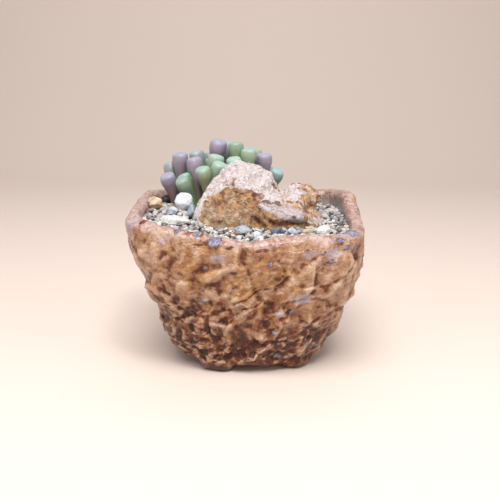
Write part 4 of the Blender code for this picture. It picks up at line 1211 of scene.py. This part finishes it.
def leaf_points(unit, foot, tip, radius, blunt, lean_of_window, seed):
    """Bend the straight leaf from its foot to its tip and flatten its window."""
    tip, foot = Vector(tip) + Vector((0, 0, 0.07 * radius)), Vector((*foot, LEAF_START))
    length = (tip - foot).length
    bend = foot.lerp(tip, 0.5) + Vector((0, 0, 0.06 * length)) - Vector((*(tip - foot).xy, 0)) * 0.12
    window = ((tip - bend).normalized() + Vector((*lean_of_window, 0.35))).normalized()
    draw = random.Random(seed)
    phase, flat = draw.uniform(0, tau), draw.uniform(0.9, 1.0)
    points = []
    for x, y, z in unit:
        share = min(z, 1.0)
        middle = foot * (1 - share) ** 2 + bend * 2 * share * (1 - share) + tip * share**2
        heading = ((bend - foot) * (1 - share) + (tip - bend) * share).normalized()
        side = heading.cross(Vector((0, 1, 0))).normalized()
        around = atan2(y, x)
        boxy = 1 + 0.045 * cos(3 * around + phase) * ease(0.3, 1, z)
        wide = radius * hypot(x, y) * boxy * curve_value(LEAF_TAPER, (1 - share) * length / radius)
        point = middle + side * cos(around) * wide + heading.cross(side) * sin(around) * wide * flat
        point += heading * max(z - 1, 0) * radius * LEAF_DOME
        over = (point - tip).dot(window) - radius * (0.45 - 0.25 * blunt)
        if over > 0:
            point -= window * (over - over / (1 + over * (0.4 + 0.7 * blunt) / radius))
        points.append(point)
    return points


def crowding(point, own_tip, spines):
    """How closely the other leaves crowd a point, from 0 to 1."""
    least = LEAF_SHADE_REACH
    for foot, tip, radius in spines:
        if (tip - Vector(own_tip)).length >= 0.1:
            share, place = nearest_on(point, foot, tip)
            least = min(least, (point - place).length - radius * (0.55 + 0.45 * share))
    return 1 - ease(0, LEAF_SHADE_REACH, least)


def crown_form(name, centre):
    """The crown that the leaves grow from, with its taproot down in the soil."""
    crown = turned_form(name + "_crown", CROWN_OUTLINE, 16, bpy.ops.mesh.edge_face_add, 1)
    mesh = crown.data
    points = read(mesh.vertices, "co") + np.array((centre[0] * MM, centre[1] * MM, 0), np.float32)
    write_points(mesh, points)
    none = np.zeros(len(points))
    write_layers(mesh, leaf=np.tile(tone(150, 128, 96), (len(points), 1)), along=none, gap=none)
    return crown


def build_heads():
    settings = bpy.context.scene.baby_toes.leaf
    outline = [(radius / MM, height / MM) for radius, height in LEAF_OUTLINE]
    unit, master_faces = take_apart(turned_form("leaf", outline, 12, bpy.ops.mesh.edge_face_add, 2))
    along = unit[:, 2]
    spines = [
        (Vector((*centre, LEAF_START)), Vector(tip), radius)
        for _, centre, leaves in HEADS.values()
        for tip, radius, *_ in leaves
    ]
    seed = 0
    for name, (slot, centre, leaves) in HEADS.items():
        copies, tints, gaps = [], [], []
        for tip, radius, kind, blunt, lean_of_window, *own_foot in leaves:
            away = Vector((tip[0] - centre[0], tip[1] - centre[1])).normalized() * 2
            foot = own_foot[0] if own_foot else Vector(centre) + away
            own = leaf_points(unit, foot, tip, radius, blunt, lean_of_window, seed)
            seed += 1
            foot_tone, body_tone, window_tone = (np.array(tone(*shades)) for shades in LEAF_TONES[kind])
            copies.append([point * MM for point in own])
            for point, share in zip(own, along):
                body = foot_tone + (body_tone - foot_tone) * ease(0.1, 0.95, share)
                tints.append(body + (window_tone - body) * 0.85 * ease(0.93, 1.17, share))
                # Painted shade and glow where other leaves crowd close, little of it on purple leaves
                gaps.append(crowding(point, tip, spines) * (0.15 if kind == "purple" else 1))
        head = mesh_piece(name + "_leaves")
        repeat_shape(head.data, copies, master_faces)
        write_layers(head.data, leaf=tints, along=np.tile(along, len(leaves)), gap=gaps)
        pick(crown_form(name, centre), head)
        bpy.ops.object.join()
        settle(head)
        head.data.shade_smooth()
        dress(head, leaf_material(name, settings), "leaf_" + slot, name)


def leaf_material(name, look):
    paint = new_material(
        name.replace("_", " ").capitalize(), Roughness=0.42, Subsurface_Weight=0.35, Subsurface_Scale=0.002,
        Sheen_Weight=0.15,
    )
    paint.colour = paint.layer("leaf", "Color")
    paint.cover((0.75, 0.72, 0.72, 1), 0.25, paint.blotches(700, 0.56, 0.1), blend="MULTIPLY")
    window = paint.remap(paint.layer("along"), 0.86, 1)
    # Painted shade and glow between crowded leaves, kept off the windows
    paint.cover(look.gap, 0.65, paint.math("SUBTRACT", paint.layer("gap"), window, use_clamp=True))
    return paint.finish((900, 0.12, 0.0002, 0.1))


# Soil and screen, whose shapes stay


def dress_hidden_parts():
    soil, screen = new_material("Potting mix", Roughness=0.95), new_material("Screen plastic", Roughness=0.55)
    soil.colour = soil.mix(soil.blotches(500, spread=0.2), tone(52, 38, 30), tone(96, 74, 56))
    screen.colour = screen.mix(screen.blotches(900, spread=0.3), tone(34, 34, 36), tone(52, 52, 54))
    looks = {"potting_mix": soil.finish((700, 0.8, 0.0005, 0.6)), "drain_screen": screen.finish()}
    for node, material in looks.items():
        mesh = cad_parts[node].data
        mesh.materials.clear()
        mesh.materials.append(material)


# Stage


def build_floor(look):
    pick()
    bpy.ops.mesh.primitive_plane_add(size=2.2, location=(0, 0.1, 0))
    floor = new_piece("floor")
    bpy.ops.object.mode_set(mode="EDIT")
    bpy.ops.mesh.select_all(action="DESELECT")
    bpy.ops.object.mode_set(mode="OBJECT")
    for edge in floor.data.edges:
        edge.select = all(floor.data.vertices[i].co.y > 0 for i in edge.vertices)
    bpy.ops.object.mode_set(mode="EDIT")
    bpy.ops.mesh.select_mode(type="EDGE")
    bpy.ops.mesh.extrude_edges_move(TRANSFORM_OT_translate={"value": (0, 0, 1.6)})
    bpy.ops.object.mode_set(mode="OBJECT")
    settle(floor)
    apply_modifier(floor, "BEVEL", width=0.6, segments=24, limit_method="ANGLE")
    floor.data.shade_smooth()
    paint = new_material("Pale floor", Roughness=0.9)
    paint.colour = look.floor
    paint.cover(tone(220, 204, 188), 0.06, paint.blotches(6, spread=0.3))
    floor.data.materials.append(paint.finish())


def build_lights(look):
    lights = (
        ("key", (-0.04, -0.45, 0.72), 0.5, look.key * 0.85, (1, 0.99, 0.99)),
        ("spark", (0.12, -0.4, 0.55), 0.12, look.key * 0.13, (1, 1, 1)),
        ("fill_left", (-0.8, -0.5, 0.45), 0.7, look.fill * 0.7, (0.97, 0.98, 1)),
        ("fill_right", (0.8, -0.5, 0.45), 0.7, look.fill, (1, 0.98, 0.97)),
        ("backdrop_wash", (0, 0.45, 1.1), 0.8, look.key * 0.3, (1, 0.98, 0.97)),
    )
    for name, place, size, power, colour in lights:
        bpy.ops.object.light_add(type="AREA", location=place)
        light = new_piece(name)
        light.data.shape = "DISK"
        light.data.size = size
        light.data.energy = power
        light.data.color = colour
        aim = Vector((0, 1.3, 0.1)) if name == "backdrop_wash" else Vector((0, 0, 0.05))
        light.rotation_euler = (aim - Vector(place)).to_track_quat("-Z", "Y").to_euler()
    world = bpy.data.worlds.new("studio")
    bpy.context.scene.world = world
    world.use_nodes = True
    paint = Paint(world.node_tree)
    background = world.node_tree.nodes["Background"]
    background.inputs["Color"].default_value = tone(252, 250, 252)
    background.inputs["Strength"].default_value = 0.4
    wall = paint.node("Background", {"Color": tone(232, 216, 204), "Strength": 1})
    seen = paint.node("LightPath", output="Is Camera Ray")
    both = paint.node("MixShader", {0: seen, 1: background.outputs[0], 2: wall})
    world.node_tree.links.new(both, world.node_tree.nodes["World Output"].inputs["Surface"])


def build_camera():
    bpy.ops.object.camera_add(location=CAMERA_PLACE)
    camera = bpy.context.object
    turn = Matrix.Rotation(radians(CAMERA_TILT), 3, "X") @ Matrix.Rotation(radians(CAMERA_ROLL), 3, "Z")
    camera.rotation_euler = turn.to_euler()
    camera.data.lens = CAMERA_LENS
    camera.data.clip_start = 0.01
    bpy.context.scene.camera = camera
    bpy.context.scene.view_settings.view_transform = "Standard"
    bpy.context.scene.view_settings.look = "None"


# Operators and panel


class BABYTOES_OT_stage(bpy.types.Operator):
    """Lay the pale floor, hang the soft boxes and set up the camera"""

    bl_idname = "baby_toes.stage"
    bl_label = "Stage"

    def execute(self, context):
        build_floor(context.scene.baby_toes.stage)
        build_lights(context.scene.baby_toes.stage)
        build_camera()
        return {"FINISHED"}


class BABYTOES_OT_pot(bpy.types.Operator):
    """Model the hand-pressed pot and glaze it"""

    bl_idname = "baby_toes.pot"
    bl_label = "Pot"

    def execute(self, context):
        build_pot()
        return {"FINISHED"}


class BABYTOES_OT_fill(bpy.types.Operator):
    """Give the potting mix and the drain screen their finish"""

    bl_idname = "baby_toes.fill"
    bl_label = "Soil and screen"

    def execute(self, context):
        dress_hidden_parts()
        return {"FINISHED"}


class BABYTOES_OT_gravel(bpy.types.Operator):
    """Pour the loose gravel"""

    bl_idname = "baby_toes.gravel"
    bl_label = "Gravel"

    def execute(self, context):
        build_gravel()
        return {"FINISHED"}


class BABYTOES_OT_rock(bpy.types.Operator):
    """Chip and stain the rock"""

    bl_idname = "baby_toes.rock"
    bl_label = "Rock"

    def execute(self, context):
        build_rock()
        return {"FINISHED"}


class BABYTOES_OT_pebbles(bpy.types.Operator):
    """Lay the twelve pebbles"""

    bl_idname = "baby_toes.pebbles"
    bl_label = "Pebbles"

    def execute(self, context):
        build_pebbles()
        return {"FINISHED"}


class BABYTOES_OT_heads(bpy.types.Operator):
    """Grow the five heads of window leaves"""

    bl_idname = "baby_toes.heads"
    bl_label = "Heads of leaves"

    def execute(self, context):
        build_heads()
        return {"FINISHED"}


OPERATORS = (
    BABYTOES_OT_stage, BABYTOES_OT_pot, BABYTOES_OT_fill, BABYTOES_OT_gravel, BABYTOES_OT_rock,
    BABYTOES_OT_pebbles, BABYTOES_OT_heads,
)


class BABYTOES_PT_panel(bpy.types.Panel):
    """Everything that makes up the potted plant"""

    bl_idname = "BABYTOES_PT_panel"
    bl_label = "Potted baby toes"
    bl_space_type = "VIEW_3D"
    bl_region_type = "UI"
    bl_category = "Baby Toes"

    def draw(self, context):
        for operator in OPERATORS:
            self.layout.operator(operator.bl_idname)
        settings = context.scene.baby_toes
        for group in (settings.pot, settings.gravel, settings.rock, settings.leaf, settings.stage):
            box = self.layout.box()
            for key in group.bl_rna.properties.keys():
                if key not in ("rna_type", "name"):
                    box.prop(group, key)


CLASSES = (
    PotSettings, GravelSettings, RockSettings, LeafSettings, StageSettings, BabyToesSettings, *OPERATORS,
    BABYTOES_PT_panel,
)


def register():
    for item in CLASSES:
        bpy.utils.register_class(item)
    bpy.types.Scene.baby_toes = bpy.props.PointerProperty(type=BabyToesSettings)


def unregister():
    del bpy.types.Scene.baby_toes
    for item in reversed(CLASSES):
        bpy.utils.unregister_class(item)


def main():
    register()
    bpy.ops.baby_toes.stage()
    bpy.ops.baby_toes.pot()
    bpy.ops.baby_toes.fill()
    bpy.ops.baby_toes.gravel()
    bpy.ops.baby_toes.rock()
    bpy.ops.baby_toes.pebbles()
    bpy.ops.baby_toes.heads()


if __name__ == "__main__":
    main()
